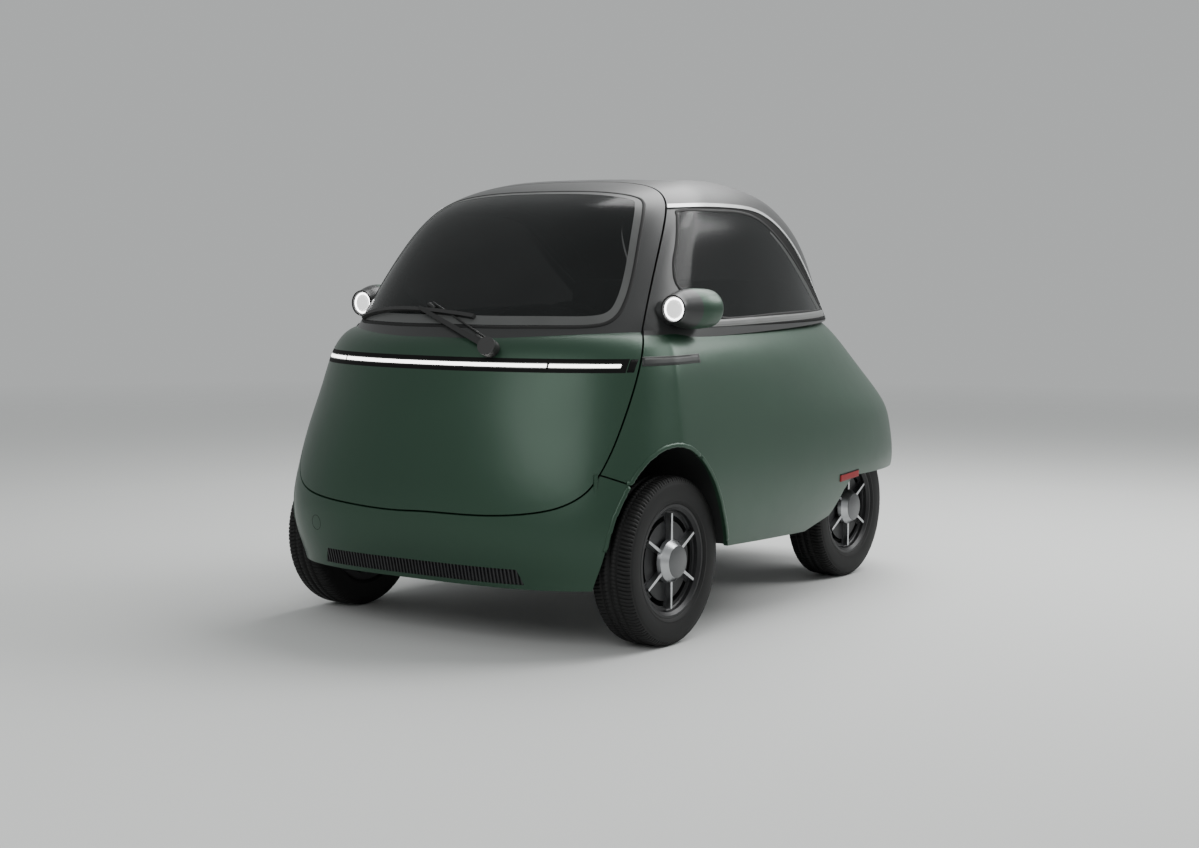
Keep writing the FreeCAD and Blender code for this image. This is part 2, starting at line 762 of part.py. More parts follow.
liner_hole = liner_hole.fuse(arm_housing(0))
liner_box = liner_box.fuse(arm_housing(size("liner_wall")).common(
    box((0, -half_length, floor_low), (wide, 0, belt))))
cabin_hull = lower_lining.common(box((-wide, -half_length, floor_low), (wide, half_length, belt * 0.98)))
cabin_wall = cabin_hull.cut(lower_body(size("jamb_depth"), True))
door_ring = cabin_wall.common(door_cone(DOOR_OUTLINE_SHARES, gap + size("jamb_width")))
front_wall = cabin_wall.common(
    box((-wide, -half_length, floor_low), (wide, size("bumper_seam_rear_y"), size("bumper_seam_rear_z"))))
door_room = lower_outer.cut(lower_body(size("door_wall") + gap, True)).common(
    door_cone(DOOR_OUTLINE_SHARES, gap + seat_gap))
hatch_room = lower_outer.cut(lower_body(size("upper_wall") + gap, True)).common(
    hatch_cone(HATCH_OUTLINE_SHARES, gap * 2))
floor_blank = floor_sheet.fuse([liner_box, right_hand(liner_box)]).common(cabin_hull)
floor_blank = floor_blank.fuse([door_ring, front_wall])
door_head_room = door_cone(DOOR_OUTLINE_SHARES, gap).common(
    box((-wide, -half_length, size("dash_low") - gap),
        (wide, size("dash_rear_y") + size("dash_depth"), roof)))
boot_floor = FLOOR_SHARES[-1][1] * belt + size("floor_wall")
luggage_pad = box((-size("luggage_half_width"), size("luggage_front_y"), boot_floor),
                  (size("luggage_half_width"), size("luggage_rear_y"), boot_floor + size("pad_height")))
jack_half = size("jack_pad_width") / 2
jack_pad = box((size("jack_x") - jack_half, size("jack_y") - jack_half, floor_low - size("pad_height")),
               (size("jack_x") + jack_half, size("jack_y") + jack_half, floor_low))
keep("floor_pan", floor_blank.cut([
    liner_hole, right_hand(liner_hole), door_room, door_head_room, hatch_room, upper_outer, under_cut,
]).fuse([luggage_pad, jack_pad, right_hand(jack_pad)]))

# Dashboard bar along the foot of the windscreen, carried by the door
dash_front = upper_body(size("upper_wall") * 0.8 + seat_gap, size("upper_wall") * 0.8 + seat_gap, True)
dash_back = dash_front.copy()
dash_back.translate(Vector(0, size("dash_depth"), 0))
dash_shell = dash_front.cut(dash_back)
dash_zone = box((-size("dash_half_length"), -half_length, size("dash_low")),
                (size("dash_half_length"), size("dash_rear_y"), size("dash_high")))
keep("dash_bar", dash_shell.common(dash_zone).cut(door_lower))

# Wiper: a pivot cap on the door, a straight arm, and a blade that follows the glass
blade_shell = upper_body(-size("blade_depth") - size("blade_clearance"), 0, True).cut(
    upper_body(-size("blade_clearance"), 0, True))


def chord_block(start, finish, up, width, height):
    """A block along a chord, as wide as the blade and tall along the glass's normal."""
    along = finish - start
    long = along.Length
    along.normalize()
    across = up.cross(along).normalize()
    rise = along.cross(across)
    block = box((0, -width / 2, -height), (long, width / 2, height))
    turn = FreeCAD.Matrix(along.x, across.x, rise.x, start.x, along.y, across.y, rise.y, start.y,
                          along.z, across.z, rise.z, start.z, 0, 0, 0, 1)
    return block.transformGeometry(turn)


def bar_between(start, finish, start_width, finish_width, thickness):
    """A tapered bar of rectangular section."""
    along = (finish - start).normalize()
    across = along.cross(Vector(0, -1, 0.4)).normalize()
    out = across.cross(along)
    wires = []
    for place, width in ((start, start_width), (finish, finish_width)):
        a, b = across * (width / 2), out * (thickness / 2)
        corners = [place + a + b, place + a - b, place - a - b, place - a + b]
        wires.append(Part.makePolygon(corners + corners[:1]))
    return Part.makeLoft(wires, True, True)


pivot = Vector(size("wiper_x"), size("wiper_y"), size("wiper_z"))
screen_angle = math.radians(size("screen_lean"))
screen_up = Vector(0, -math.cos(screen_angle), math.sin(screen_angle))
blade_left = Vector(size("blade_left_x"), size("blade_left_y"), size("blade_left_z"))
blade_right = Vector(size("blade_right_x"), size("blade_right_y"), size("blade_right_z"))
blade = blade_shell.common(chord_block(blade_left, blade_right, screen_up, size("blade_width"),
                                       size("blade_reach")))
chord = blade_right - blade_left
grip = blade.common(chord_block(blade_left + chord * 0.57, blade_left + chord * 0.62, screen_up,
                                size("blade_width"), size("blade_reach")))
arm_end = grip.Solids[0].CenterOfMass + screen_up * (size("blade_depth") * 0.7)
arm = bar_between(pivot, arm_end, size("arm_width"), size("arm_width") * 0.6, size("arm_width") * 0.5)
outward = Vector(0.25, -1, 0.35).normalize()
cap = Part.makeCylinder(size("wiper_cap_radius"), size("wiper_cap_length"),
                        pivot - outward * (size("wiper_cap_length") * 0.6), outward)
wiper = blade.fuse([arm, cap]).cut(door_lower)
keep("wiper", wiper)

# Wheels
wheel_hole = measure("stub_radius") + measure("stub_clearance")
TYRE_SHARES = [
    (-0.772, 0.00), (-0.772, 0.13), (-0.910, 0.17), (-1.000, 0.40), (-1.000, 0.60), (-0.930, 0.84),
    (-0.760, 0.965), (-0.280, 1.00), (0.280, 1.00), (0.760, 0.965), (0.930, 0.84), (1.000, 0.60),
    (1.000, 0.40), (0.910, 0.17), (0.772, 0.13), (0.772, 0.00),
]
half_tyre = measure("tyre_width") / 2
half_rim = measure("rim_width") / 2
bead = measure("bead_radius")
flange = measure("rim_radius")
tyre_corners = [(half_tyre * a, bead + (measure("tyre_radius") - bead) * r) for a, r in TYRE_SHARES]
bead_seat = bead - measure("seat_gap")
rim_corners = [
    (-half_rim, flange), (-half_rim + measure("rim_wall"), flange),
    (-half_rim + measure("rim_wall"), bead_seat),
    (-half_rim * 0.45, bead_seat), (-half_rim * 0.35, bead * 0.9), (half_rim * 0.15, bead * 0.9),
    (half_rim * 0.3, bead_seat), (half_rim - measure("rim_wall"), bead_seat),
    (half_rim - measure("rim_wall"), flange), (half_rim, flange), (half_rim, flange * 0.955),
    (half_rim * 0.86, bead * 0.97), (half_rim * 0.68, bead * 0.955), (half_rim * 0.62, bead * 0.935),
    (half_rim * 0.62, measure("hub_radius")), (half_rim * 0.76, measure("hub_radius")),
    (half_rim * 0.76, wheel_hole), (half_rim * 0.32, wheel_hole),
    (half_rim * 0.32, measure("hub_radius") * 0.8),
    (half_rim * 0.50, measure("hub_radius")), (half_rim * 0.50, bead * 0.82), (half_rim * 0.30, bead * 0.85),
    (-half_rim * 0.32, bead * 0.85), (-half_rim * 0.45, bead * 0.94), (-half_rim, bead * 0.94),
]
cap_seat = half_rim * 0.76 + measure("seat_gap")
cap_corners = [
    (cap_seat, nothing), (cap_seat, measure("hub_radius") * 1.12),
    (cap_seat + measure("cap_length") * 0.35, measure("hub_radius") * 1.06),
    (cap_seat + measure("cap_length"), measure("hub_radius") * 0.80),
    (cap_seat + measure("cap_length"), measure("hub_radius") * 0.70),
    (cap_seat + measure("cap_length") * 0.93, measure("hub_radius") * 0.68),
    (cap_seat + measure("cap_length") * 0.93, nothing),
]
half_turn = Rotation(Vector(0, 0, 1), 180)
WHEELS = [
    ("front_left", 1, measure("front_track") / 2, measure("front_axle_y")),
    ("front_right", -1, measure("front_track") / 2, measure("front_axle_y")),
    ("rear_left", 1, measure("rear_track") / 2, measure("rear_axle_y")),
    ("rear_right", -1, measure("rear_track") / 2, measure("rear_axle_y")),
]
SLOT_COUNT = 6
axle_height = measure("tyre_radius")
for corner, hand, track_x, axle_y in WHEELS:
    turn = None if hand > 0 else half_turn
    wheel_x = track_x if hand > 0 else -track_x
    tyre = revolved(f"tyre_body_{corner}", tyre_corners, wheel_x, axle_y, axle_height, turn)
    named(f"tyre_{corner}", tyre)
    rim = revolved(f"rim_{corner}", rim_corners, wheel_x, axle_y, axle_height, turn)
    slots = []
    for k in range(SLOT_COUNT):
        start = Vector(hand * size("rim_width") * 0.05 + wheel_x.value, axle_y.value, axle_height.value)
        ring = Part.makeCylinder(size("slot_outer_radius"), size("rim_width") / 2, start, Vector(hand, 0, 0),
                                 size("slot_angle"))
        core = Part.makeCylinder(size("slot_inner_radius"), size("rim_width") / 2, start, Vector(hand, 0, 0))
        arc = ring.cut(core)
        arc.rotate(start, Vector(hand, 0, 0), (360 / SLOT_COUNT) * k + size("slot_start"))
        slots.append(arc)
    slot_tool = doc.addObject("Part::Feature", f"slots_{corner}")
    slot_tool.Shape = Part.makeCompound(slots)
    wheel = doc.addObject("Part::Cut", f"wheel_cut_{corner}")
    wheel.Base, wheel.Tool = rim, slot_tool
    named(f"wheel_{corner}", wheel)
    members = [revolved(f"cap_{corner}", cap_corners, wheel_x, axle_y, axle_height, turn)]
    for k in range(SLOT_COUNT):
        spoke = doc.addObject("Part::Feature", f"spoke_{corner}_{k}")
        low = half_rim.value * 0.62 + seat_gap
        inner, outer = size("hub_radius") + seat_gap, size("spoke_length")
        half = size("spoke_width") / 2
        corners = [Vector(low, -half, inner), Vector(low, half, inner), Vector(low, half * 0.7, outer),
                   Vector(low, -half * 0.7, outer)]
        blank = Part.Face(Part.makePolygon(corners + corners[:1])).extrude(Vector(size("spoke_depth"), 0, 0))
        spoke.Shape = blank
        spoke.Placement = Placement(Vector(wheel_x.value, axle_y.value, axle_height.value),
                                    (turn or Rotation()) * Rotation(Vector(1, 0, 0), 360 / SLOT_COUNT * k))
        members.append(spoke)
    named(f"hub_spider_{corner}", fused(f"spider_{corner}", members))

# Steering knuckles with their stub axles
to_x = Rotation(Vector(0, 1, 0), 90)
for name, hand in (("left", 1), ("right", -1)):
    kingpin = measure("kingpin_x") if hand > 0 else -measure("kingpin_x")
    stub_length = measure("front_track") / 2 + half_rim * 0.72 - measure("kingpin_x")
    post = primitive("Part::Cylinder", f"knuckle_post_{name}", kingpin, measure("front_axle_y"),
                     axle_height - measure("knuckle_height") / 2, Radius=measure("knuckle_radius"),
                     Height=measure("knuckle_height"))
    stub = primitive("Part::Cylinder", f"knuckle_stub_{name}", kingpin, measure("front_axle_y"), axle_height,
                     turn=to_x if hand > 0 else Rotation(Vector(0, 1, 0), -90),
                     Radius=measure("stub_radius"), Height=stub_length)
    steer_arm = primitive("Part::Box", f"knuckle_arm_{name}", kingpin - measure("knuckle_radius") / 2,
                          measure("front_axle_y"), axle_height - measure("knuckle_radius") / 2,
                          Length=measure("knuckle_radius"), Width=measure("steer_arm_length"),
                          Height=measure("knuckle_radius"))
    named(f"knuckle_{name}", fused(f"knuckle_joined_{name}", [post, stub, steer_arm]))


# Front suspension: cross member, wishbones and dampers
def wishbone(height_z, hand):
    x_in, x_out = size("cross_half_length"), size("kingpin_x")
    radius = size("knuckle_radius")
    y = size("front_axle_y")
    spread = size("wishbone_spread")
    corners = [Vector(hand * x_out, y - radius * 0.9, height_z),
               Vector(hand * x_out, y + radius * 0.9, height_z),
               Vector(hand * x_in, y + spread, height_z), Vector(hand * x_in, y + spread - radius, height_z),
               Vector(hand * (x_in + (x_out - x_in) * 0.6), y, height_z),
               Vector(hand * x_in, y - spread + radius, height_z), Vector(hand * x_in, y - spread, height_z)]
    plate = Part.Face(Part.makePolygon(corners + corners[:1])).extrude(Vector(0, 0, size("arm_plate")))
    eye = Part.makeCylinder(radius, size("arm_plate"), Vector(hand * x_out, y, height_z))
    return plate.fuse(eye)


axle_z = size("tyre_radius")
post_half = size("knuckle_height") / 2
front_y = size("front_axle_y")
low_arm_z = axle_z - post_half - seat_gap - size("arm_plate")
high_arm_z = axle_z + post_half + seat_gap
cross_half = size("cross_half_length")
cross = box((-cross_half, front_y - size("wishbone_spread"), low_arm_z),
            (cross_half, front_y + size("wishbone_spread"), low_arm_z + size("cross_height")))
suspension = [cross]
for hand in (1, -1):
    tower = box((0, -size("wishbone_spread"), 0),
                (size("tower_width"), size("wishbone_spread"), arm_top - seat_gap - low_arm_z))
    tower_x = cross_half - size("tower_width") if hand > 0 else -cross_half
    tower.translate(Vector(tower_x, front_y, low_arm_z))
    damper_x = hand * (cross_half + size("kingpin_x")) / 2
    damper_foot = Vector(damper_x, front_y, low_arm_z + size("arm_plate") / 2)
    damper_head = Vector(hand * (cross_half - size("tower_width") / 2), front_y, high_arm_z)
    rod = damper_head - damper_foot
    damper = Part.makeCylinder(size("damper_radius"), rod.Length, damper_foot, rod)
    low_bone = wishbone(low_arm_z, hand)
    high_bone = wishbone(high_arm_z, hand)
    suspension += [low_bone, high_bone, tower, damper]
keep("front_suspension", suspension[0].fuse(suspension[1:]))

# Rear axle: beam, carriers, stubs, trailing arms and motor plates
rear_y = size("rear_axle_y")
boot_under_z = FLOOR_SHARES[-1][1] * belt
bulkhead_rear_y = FLOOR_SHARES[-2][0] * half_length
rear_x = size("rear_track") / 2
stub_end = rear_x + size("rim_width") / 2 * 0.72
axle = Part.makeCylinder(size("stub_radius"), 2 * stub_end, Vector(-stub_end, rear_y, axle_z),
                         Vector(1, 0, 0))
beam = Part.makeCylinder(size("beam_radius"), 2 * size("beam_half_length"),
                         Vector(-size("beam_half_length"), rear_y, axle_z), Vector(1, 0, 0))
rear_parts = [beam]
plate_x = size("motor_length") / 2 + seat_gap
for hand in (1, -1):
    carrier = Part.makeCylinder(size("beam_radius") * 1.5, size("carrier_length"),
                                Vector(hand * size("beam_half_length"), rear_y, axle_z), Vector(hand, 0, 0))
    arm_low = Vector(hand * size("beam_half_length") - size("trailing_width") / 2, bulkhead_rear_y
                     + size("trailing_gap"), axle_z - size("trailing_width") / 2)
    trailing = Part.makeBox(size("trailing_width"), rear_y - arm_low.y, size("trailing_width"), arm_low)
    riser = Part.makeCylinder(size("damper_radius"), boot_under_z - seat_gap - axle_z,
                              Vector(hand * size("beam_half_length"), rear_y, axle_z))
    motor_y = rear_y - size("beam_radius") - size("motor_radius")
    plate = box((0, motor_y - size("motor_radius"), axle_z - size("beam_radius")),
                (size("plate_wall"), rear_y, axle_z + size("beam_radius")))
    plate.translate(Vector(plate_x if hand > 0 else -plate_x - size("plate_wall"), 0, 0))
    rear_parts += [carrier, trailing, riser, plate]
keep("rear_axle", axle.fuse(rear_parts))
named("motor", primitive(
    "Part::Cylinder", "motor_drum", -measure("motor_length") / 2,
    measure("rear_axle_y") - measure("beam_radius") - measure("motor_radius") - measure("seat_gap"),
    axle_height, turn=to_x, Radius=measure("motor_radius"), Height=measure("motor_length")))

# Battery block and bench seat
named("battery", primitive(
    "Part::Box", "battery_block", -measure("battery_width") / 2,
    measure("seat_front_y") + measure("seat_gap"),
    measure("floor_height") + measure("seat_gap"), Length=measure("battery_width"),
    Width=measure("battery_length"), Height=measure("battery_height")))


def cushion(name, width, depth, height, fillet):
    block = primitive("Part::Box", name + "_block", -width / 2, nothing, nothing, Length=width, Width=depth,
                      Height=height)
    doc.recompute()
    rounded = doc.addObject("Part::Fillet", name + "_rounded")
    rounded.Base = block
    rounded.Edges = [(k + 1, fillet, fillet) for k in range(len(block.Shape.Edges))]
    return rounded


seat = cushion("seat", measure("seat_width"), measure("seat_depth"), measure("seat_thickness"),
               size("cushion_round"))
set_base(seat, nothing, measure("seat_front_y"),
         measure("floor_height") + measure("battery_height") + measure("seat_gap") * 2)
named("seat_base", seat)
back = cushion("backrest", measure("seat_width"), measure("backrest_thickness"), measure("backrest_height"),
               size("cushion_round"))
back.Placement = Placement(Vector(0, 0, 0), Rotation(Vector(1, 0, 0), -size("backrest_lean")))
lean_sine = math.sin(math.radians(size("backrest_lean")))
lean_cosine = math.cos(math.radians(size("backrest_lean")))
backrest_sag = ((measure("backrest_thickness") - measure("cushion_round")) * lean_sine
                - measure("cushion_round") * lean_cosine + measure("cushion_round"))
set_base(back, nothing, measure("seat_front_y") + measure("seat_depth") - measure("backrest_set"),
         measure("floor_height") + measure("battery_height") + measure("seat_thickness")
         + measure("seat_gap") * 3 + backrest_sag)
named("seat_back", back)

# Steering wheel and column
wheel_turn = Rotation(Vector(1, 0, 0), -90 + size("steer_tilt"))
wheel_place = [measure("steer_wheel_x"), measure("steer_wheel_y"), measure("steer_wheel_z")]
rim_ring = primitive("Part::Torus", "steering_rim", *wheel_place, turn=wheel_turn,
                     Radius1=measure("steer_wheel_radius"), Radius2=measure("steer_rim_radius"))
boss = primitive("Part::Cylinder", "steering_boss", *wheel_place, turn=wheel_turn,
                 Radius=measure("steer_wheel_radius") / 4, Height=measure("steer_rim_radius") * 1.5)
spokes = []
for k, angle in enumerate((0, 180, 270)):
    rim_tube = size("steer_rim_radius")
    bar = Part.makeBox(size("steer_wheel_radius") - rim_tube / 2, rim_tube * 1.6, rim_tube * 0.7,
                       Vector(0, -rim_tube * 0.8, 0))
    thing = doc.addObject("Part::Feature", f"steering_spoke_{k}")
    thing.Shape = bar
    thing.Placement = Placement(Vector(*[place.value for place in wheel_place]),
                                wheel_turn * Rotation(Vector(0, 0, 1), angle))
    spokes.append(thing)
named("steering_wheel", fused("steering_wheel_joined", [rim_ring, boss] + spokes))
hub = Vector(*[place.value for place in wheel_place])
spin_axis = wheel_turn.multVec(Vector(0, 0, 1))
column_top = hub - spin_axis * seat_gap
column = Part.makeCylinder(size("column_radius"), size("column_length"), column_top, spin_axis * -1)
foot = column_top - spin_axis * size("column_length")
post = Part.makeCylinder(size("column_radius"), foot.z + size("column_radius") / 2 - floor_top - seat_gap,
                         Vector(foot.x, foot.y + size("column_radius"), floor_top + seat_gap))
keep("steering_column", column.fuse(post))

# Side pods: a dark housing with the headlamp, a body-coloured shell and the mirror behind
POD_SHARES = [
    (0.00, 0.70, 0.00), (0.12, 0.80, 0.00), (0.28, 0.93, 0.08), (0.44, 1.00, 0.30), (0.65, 1.02, 0.66),
    (0.86, 0.99, 0.92), (0.96, 0.95, 1.00), (1.00, 0.90, 1.00),
]
POD_SPLIT_SHARE = 0.42
forward = Vector(0, 1, 0)
lamp_front = Vector(size("lamp_x"), size("lamp_y") - size("pod_lip"), size("lamp_z"))
rings = []
for along, radius, shift in POD_SHARES:
    centre = lamp_front + Vector(shift * size("pod_shift"), along * size("pod_length"), 0)
    rings.append(Part.Wire([Part.makeCircle(radius * size("pod_radius"), centre, forward)]))
pod = Part.makeLoft(rings, True, False)
arm_centre = Vector(0, size("lamp_y") + size("pod_arm_set"), size("lamp_z") - size("pod_arm_drop"))
pod_arm = Part.makeCylinder(size("pod_arm_radius"), size("lamp_x"), arm_centre, Vector(1, 0, 0))
lamp_hole = Part.makeCylinder(size("lamp_radius"), size("lamp_depth") + overrun,
                              lamp_front - forward * overrun, forward)
mirror_front = lamp_front + Vector(size("pod_shift"), size("pod_length") - size("mirror_depth"), 0)
mirror_hole = Part.makeCylinder(size("mirror_radius"), size("pod_length"), mirror_front, forward)
split_y = lamp_front.y + POD_SPLIT_SHARE * size("pod_length")
behind = box((0, split_y, 0), (wide, half_length, roof))
pod = pod.fuse(pod_arm).cut([lamp_hole, mirror_hole, upper_body(-seat_gap, -seat_gap), lower_outer,
                             door_cone(DOOR_OUTLINE_SHARES, gap)])
pod = max(pod.Solids, key=lambda solid: solid.Volume)
keep("lamp_pods", both_sides(pod.cut(behind)))
keep("mirror_shells", both_sides(pod.common(behind)))
LAMP_SHARES = [(0.10, 0.00), (0.14, 0.55), (0.28, 0.90), (0.42, 1.00), (1.00, 1.00), (1.00, 0.00)]
lens_radius = size("lamp_radius") - seat_gap
lamp_spots = [Vector(0, a * size("lamp_depth"), r * lens_radius) for a, r in LAMP_SHARES]
lamp = Part.Face(Part.makePolygon(lamp_spots + lamp_spots[:1])).revolve(Vector(0, 0, 0), forward, 360)
lamp.translate(lamp_front - forward * seat_gap)
keep("headlamps", both_sides(lamp))
glass = Part.makeCylinder(size("mirror_radius") - seat_gap, size("mirror_glass_wall"),
                          mirror_front + forward * seat_gap, forward)
keep("mirror_glasses", both_sides(glass.cut(upper_body(-seat_gap, -seat_gap))))

doc.recompute()
for thing in doc.Objects:
    if "Invalid" in thing.State or "Error" in thing.State:
        raise RuntimeError(f"{thing.Label} is not valid: {thing.State}")
for piece in pieces:
    if piece.Shape.isNull() or not piece.Shape.isValid():
        raise RuntimeError(f"{piece.Label} has no valid shape")
for piece in pieces:
    piece.Shape.exportStep(f"parts/{piece.Label}.step")
    print(piece.Label, len(piece.Shape.Solids), round(piece.Shape.Volume / 1e6, 2))
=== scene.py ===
import math

import bpy
import numpy as np
from mathutils import Matrix, Vector
from mathutils.bvhtree import BVHTree


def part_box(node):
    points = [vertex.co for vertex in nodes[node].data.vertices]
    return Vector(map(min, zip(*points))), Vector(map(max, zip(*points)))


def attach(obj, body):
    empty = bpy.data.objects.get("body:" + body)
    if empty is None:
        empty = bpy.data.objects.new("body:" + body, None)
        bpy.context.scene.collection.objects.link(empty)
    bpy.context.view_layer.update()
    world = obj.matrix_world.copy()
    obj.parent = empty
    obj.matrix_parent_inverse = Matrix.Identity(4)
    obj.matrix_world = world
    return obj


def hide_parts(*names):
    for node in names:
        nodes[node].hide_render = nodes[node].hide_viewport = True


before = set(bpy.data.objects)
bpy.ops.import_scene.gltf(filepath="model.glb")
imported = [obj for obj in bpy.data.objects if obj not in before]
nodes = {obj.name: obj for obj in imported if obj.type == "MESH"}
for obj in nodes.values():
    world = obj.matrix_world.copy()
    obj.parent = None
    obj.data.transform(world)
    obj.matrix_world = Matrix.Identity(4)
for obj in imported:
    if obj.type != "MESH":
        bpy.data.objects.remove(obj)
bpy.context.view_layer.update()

# Camera, from the photograph of 1199 by 848 pixels
PHOTO_WIDTH = 1199
FOCAL_PIXELS = 1904.5
SENSOR_WIDTH = 36
CAMERA_SPOT = Vector((3.819, -5.777, 1.1775))
CAMERA_YAW, CAMERA_PITCH, CAMERA_ROLL = math.radians(34.45), math.radians(4.72), math.radians(0.28)
CAMERA_REACH = 100


def make_camera():
    data = bpy.data.cameras.new("camera")
    data.sensor_width = SENSOR_WIDTH
    data.lens = FOCAL_PIXELS / PHOTO_WIDTH * SENSOR_WIDTH
    data.clip_end = CAMERA_REACH
    camera = bpy.data.objects.new("camera", data)
    bpy.context.scene.collection.objects.link(camera)
    level = math.cos(CAMERA_PITCH)
    back = Vector((math.sin(CAMERA_YAW) * level, -math.cos(CAMERA_YAW) * level, math.sin(CAMERA_PITCH)))
    right = Vector((0, 0, 1)).cross(back).normalized()
    up = back.cross(right)
    turned_right = right * math.cos(CAMERA_ROLL) + up * math.sin(CAMERA_ROLL)
    turned_up = up * math.cos(CAMERA_ROLL) - right * math.sin(CAMERA_ROLL)
    turn = Matrix((turned_right, turned_up, back)).transposed().to_4x4()
    camera.matrix_world = Matrix.Translation(CAMERA_SPOT) @ turn
    bpy.context.scene.camera = camera


make_camera()


# Shader values and finishes
class Shade:
    """A value that varies over a finish. Arithmetic on it adds Math nodes."""

    def __init__(self, finish, socket):
        self.finish, self.socket = finish, socket

    def math(self, operation, *values):
        return self.finish.node("ShaderNodeMath", {"operation": operation}, values)

    def __add__(self, other):
        return self.math("ADD", self, other)

    def __mul__(self, other):
        return self.math("MULTIPLY", self, other)

    def __sub__(self, other):
        return self.math("SUBTRACT", self, other)

    def __rsub__(self, other):
        return self.math("SUBTRACT", other, self)

    def __truediv__(self, other):
        return self.math("DIVIDE", self, other)

    def __lt__(self, other):
        return self.math("LESS_THAN", self, other)

    __radd__ = __add__
    __rmul__ = __mul__

    def sine(self):
        return self.math("SINE", self)

    def size(self):
        return self.math("ABSOLUTE", self)

    def clamped(self):
        return self.finish.node("ShaderNodeClamp", inputs=[self, 0, 1])


def socket_names(inputs):
    return {name.replace("_", " ").title().replace("Ior", "IOR"): value for name, value in inputs.items()}


class Finish:
    """One material: nodes that end in its shader."""

    def __init__(self, name, **constants):
        self.material = bpy.data.materials.new(name)
        self.material.use_nodes = True
        self.tree = self.material.node_tree
        self.shader = self.tree.nodes["Principled BSDF"]
        self.feed(self.shader, socket_names(constants))

    def feed(self, node, inputs):
        """Sets sockets, by name or place, to a value or links them to a Shade."""
        for key, value in inputs.items() if isinstance(inputs, dict) else enumerate(inputs):
            if isinstance(value, Shade):
                self.tree.links.new(value.socket, node.inputs[key])
            else:
                node.inputs[key].default_value = value

    def node(self, kind, settings=(), inputs=(), output=0):
        """Adds a node: its settings first, then the values or links of its sockets."""
        made = self.tree.nodes.new(kind)
        for setting, value in dict(settings).items():
            setattr(made, setting, value)
        self.feed(made, inputs)
        return Shade(self, made.outputs[output])

    def wear(self, **inputs):
        self.feed(self.shader, socket_names(inputs))
        return self

    def place(self):
        return self.node("ShaderNodeTexCoord", output="Object")

    def axis(self, letter):
        return self.node("ShaderNodeSeparateXYZ", inputs=[self.place()], output=letter)

    def cloud(self, scale, detail=2.0, stretch=(1, 1, 1)):
        spot = self.node("ShaderNodeMapping", inputs={"Vector": self.place(), "Scale": stretch})
        return self.node("ShaderNodeTexNoise", inputs={"Vector": spot, "Scale": scale, "Detail": detail},
                         output="Fac")

    def blend(self, mask, first, second):
        return self.node("ShaderNodeMix", {"data_type": "RGBA"}, {0: mask, 6: first, 7: second}, output=2)

    def relief(self, height, depth, strength=1.0):
        return self.node("ShaderNodeBump", inputs={"Strength": strength, "Distance": depth, "Height": height},
                         output="Normal")


def tone(red, green, blue):
    return (red, green, blue, 1)


COAT_ROUGHNESS = 0.28
FLAKE_SCALE, DRIFT_SCALE = 2600, 2.2
PEEL_SCALE, PEEL_DEPTH, PEEL_STRENGTH = 420, 0.0004, 0.06
DUST_SCALE, DUST_SPREAD = 9, 0.08


def paint(name, deep, light, metallic, roughness, coat):
    """Sprayed finish: fine flakes, a slow change of tone and a little orange peel."""
    finish = Finish(name, metallic=metallic, coat_roughness=COAT_ROUGHNESS, coat_weight=coat)
    flake = finish.cloud(FLAKE_SCALE, 1)
    drift = finish.cloud(DRIFT_SCALE, 2)
    mask = (flake * 0.5 + drift * 0.5).clamped()
    peel = finish.cloud(PEEL_SCALE, 2)
    dust = finish.cloud(DUST_SCALE, 4)
    return finish.wear(base_color=finish.blend(mask, deep, light),
                       roughness=dust * DUST_SPREAD + (roughness - DUST_SPREAD / 2),
                       normal=finish.relief(peel, PEEL_DEPTH, PEEL_STRENGTH))


PATCH_SCALE, PATCH_SPREAD = 7, 0.12
PATCH_GAIN, PATCH_LIFT = 1.35, 0.004


def moulded(name, colour, roughness, grain_scale, grain_depth, metallic=0.0, shine=0.5):
    """Moulded plastic or cast metal with a fine grain."""
    finish = Finish(name, metallic=metallic, specular_ior_level=shine)
    grain = finish.cloud(grain_scale, 3)
    patch = finish.cloud(PATCH_SCALE, 4)
    lighter = tone(*[min(1, c * PATCH_GAIN + PATCH_LIFT) for c in colour[:3]])
    return finish.wear(base_color=finish.blend(patch, colour, lighter),
                       roughness=patch * PATCH_SPREAD + (roughness - PATCH_SPREAD / 2),
                       normal=finish.relief(grain, grain_depth, 0.5))


LINE_SCALE, LINE_DEPTH, LINE_SPREAD = 180, 0.0002, 0.10
HAZE_SCALE, HAZE_SPREAD, HAZE_GAIN = 12, 0.06, 0.86


def brushed(name, colour, roughness, stretch):
    """Bright metal with faint drawn lines."""
    finish = Finish(name, metallic=1.0)
    lines = finish.cloud(LINE_SCALE, 3, stretch)
    haze = finish.cloud(HAZE_SCALE, 3)
    spread = (LINE_SPREAD + HAZE_SPREAD) / 2
    return finish.wear(base_color=finish.blend(haze, colour, tone(*[c * HAZE_GAIN for c in colour[:3]])),
                       roughness=lines * LINE_SPREAD + haze * HAZE_SPREAD + (roughness - spread),
                       normal=finish.relief(lines, LINE_DEPTH, 0.15))


GLASS_ROUGHNESS, GLASS_IOR, GLASS_SHINE = 0.16, 1.45, 0.11
FILM_SCALE, FILM_GAIN, FILM_SPREAD, SHALLOW_BLEND = 5, 1.5, 0.03, 0.35


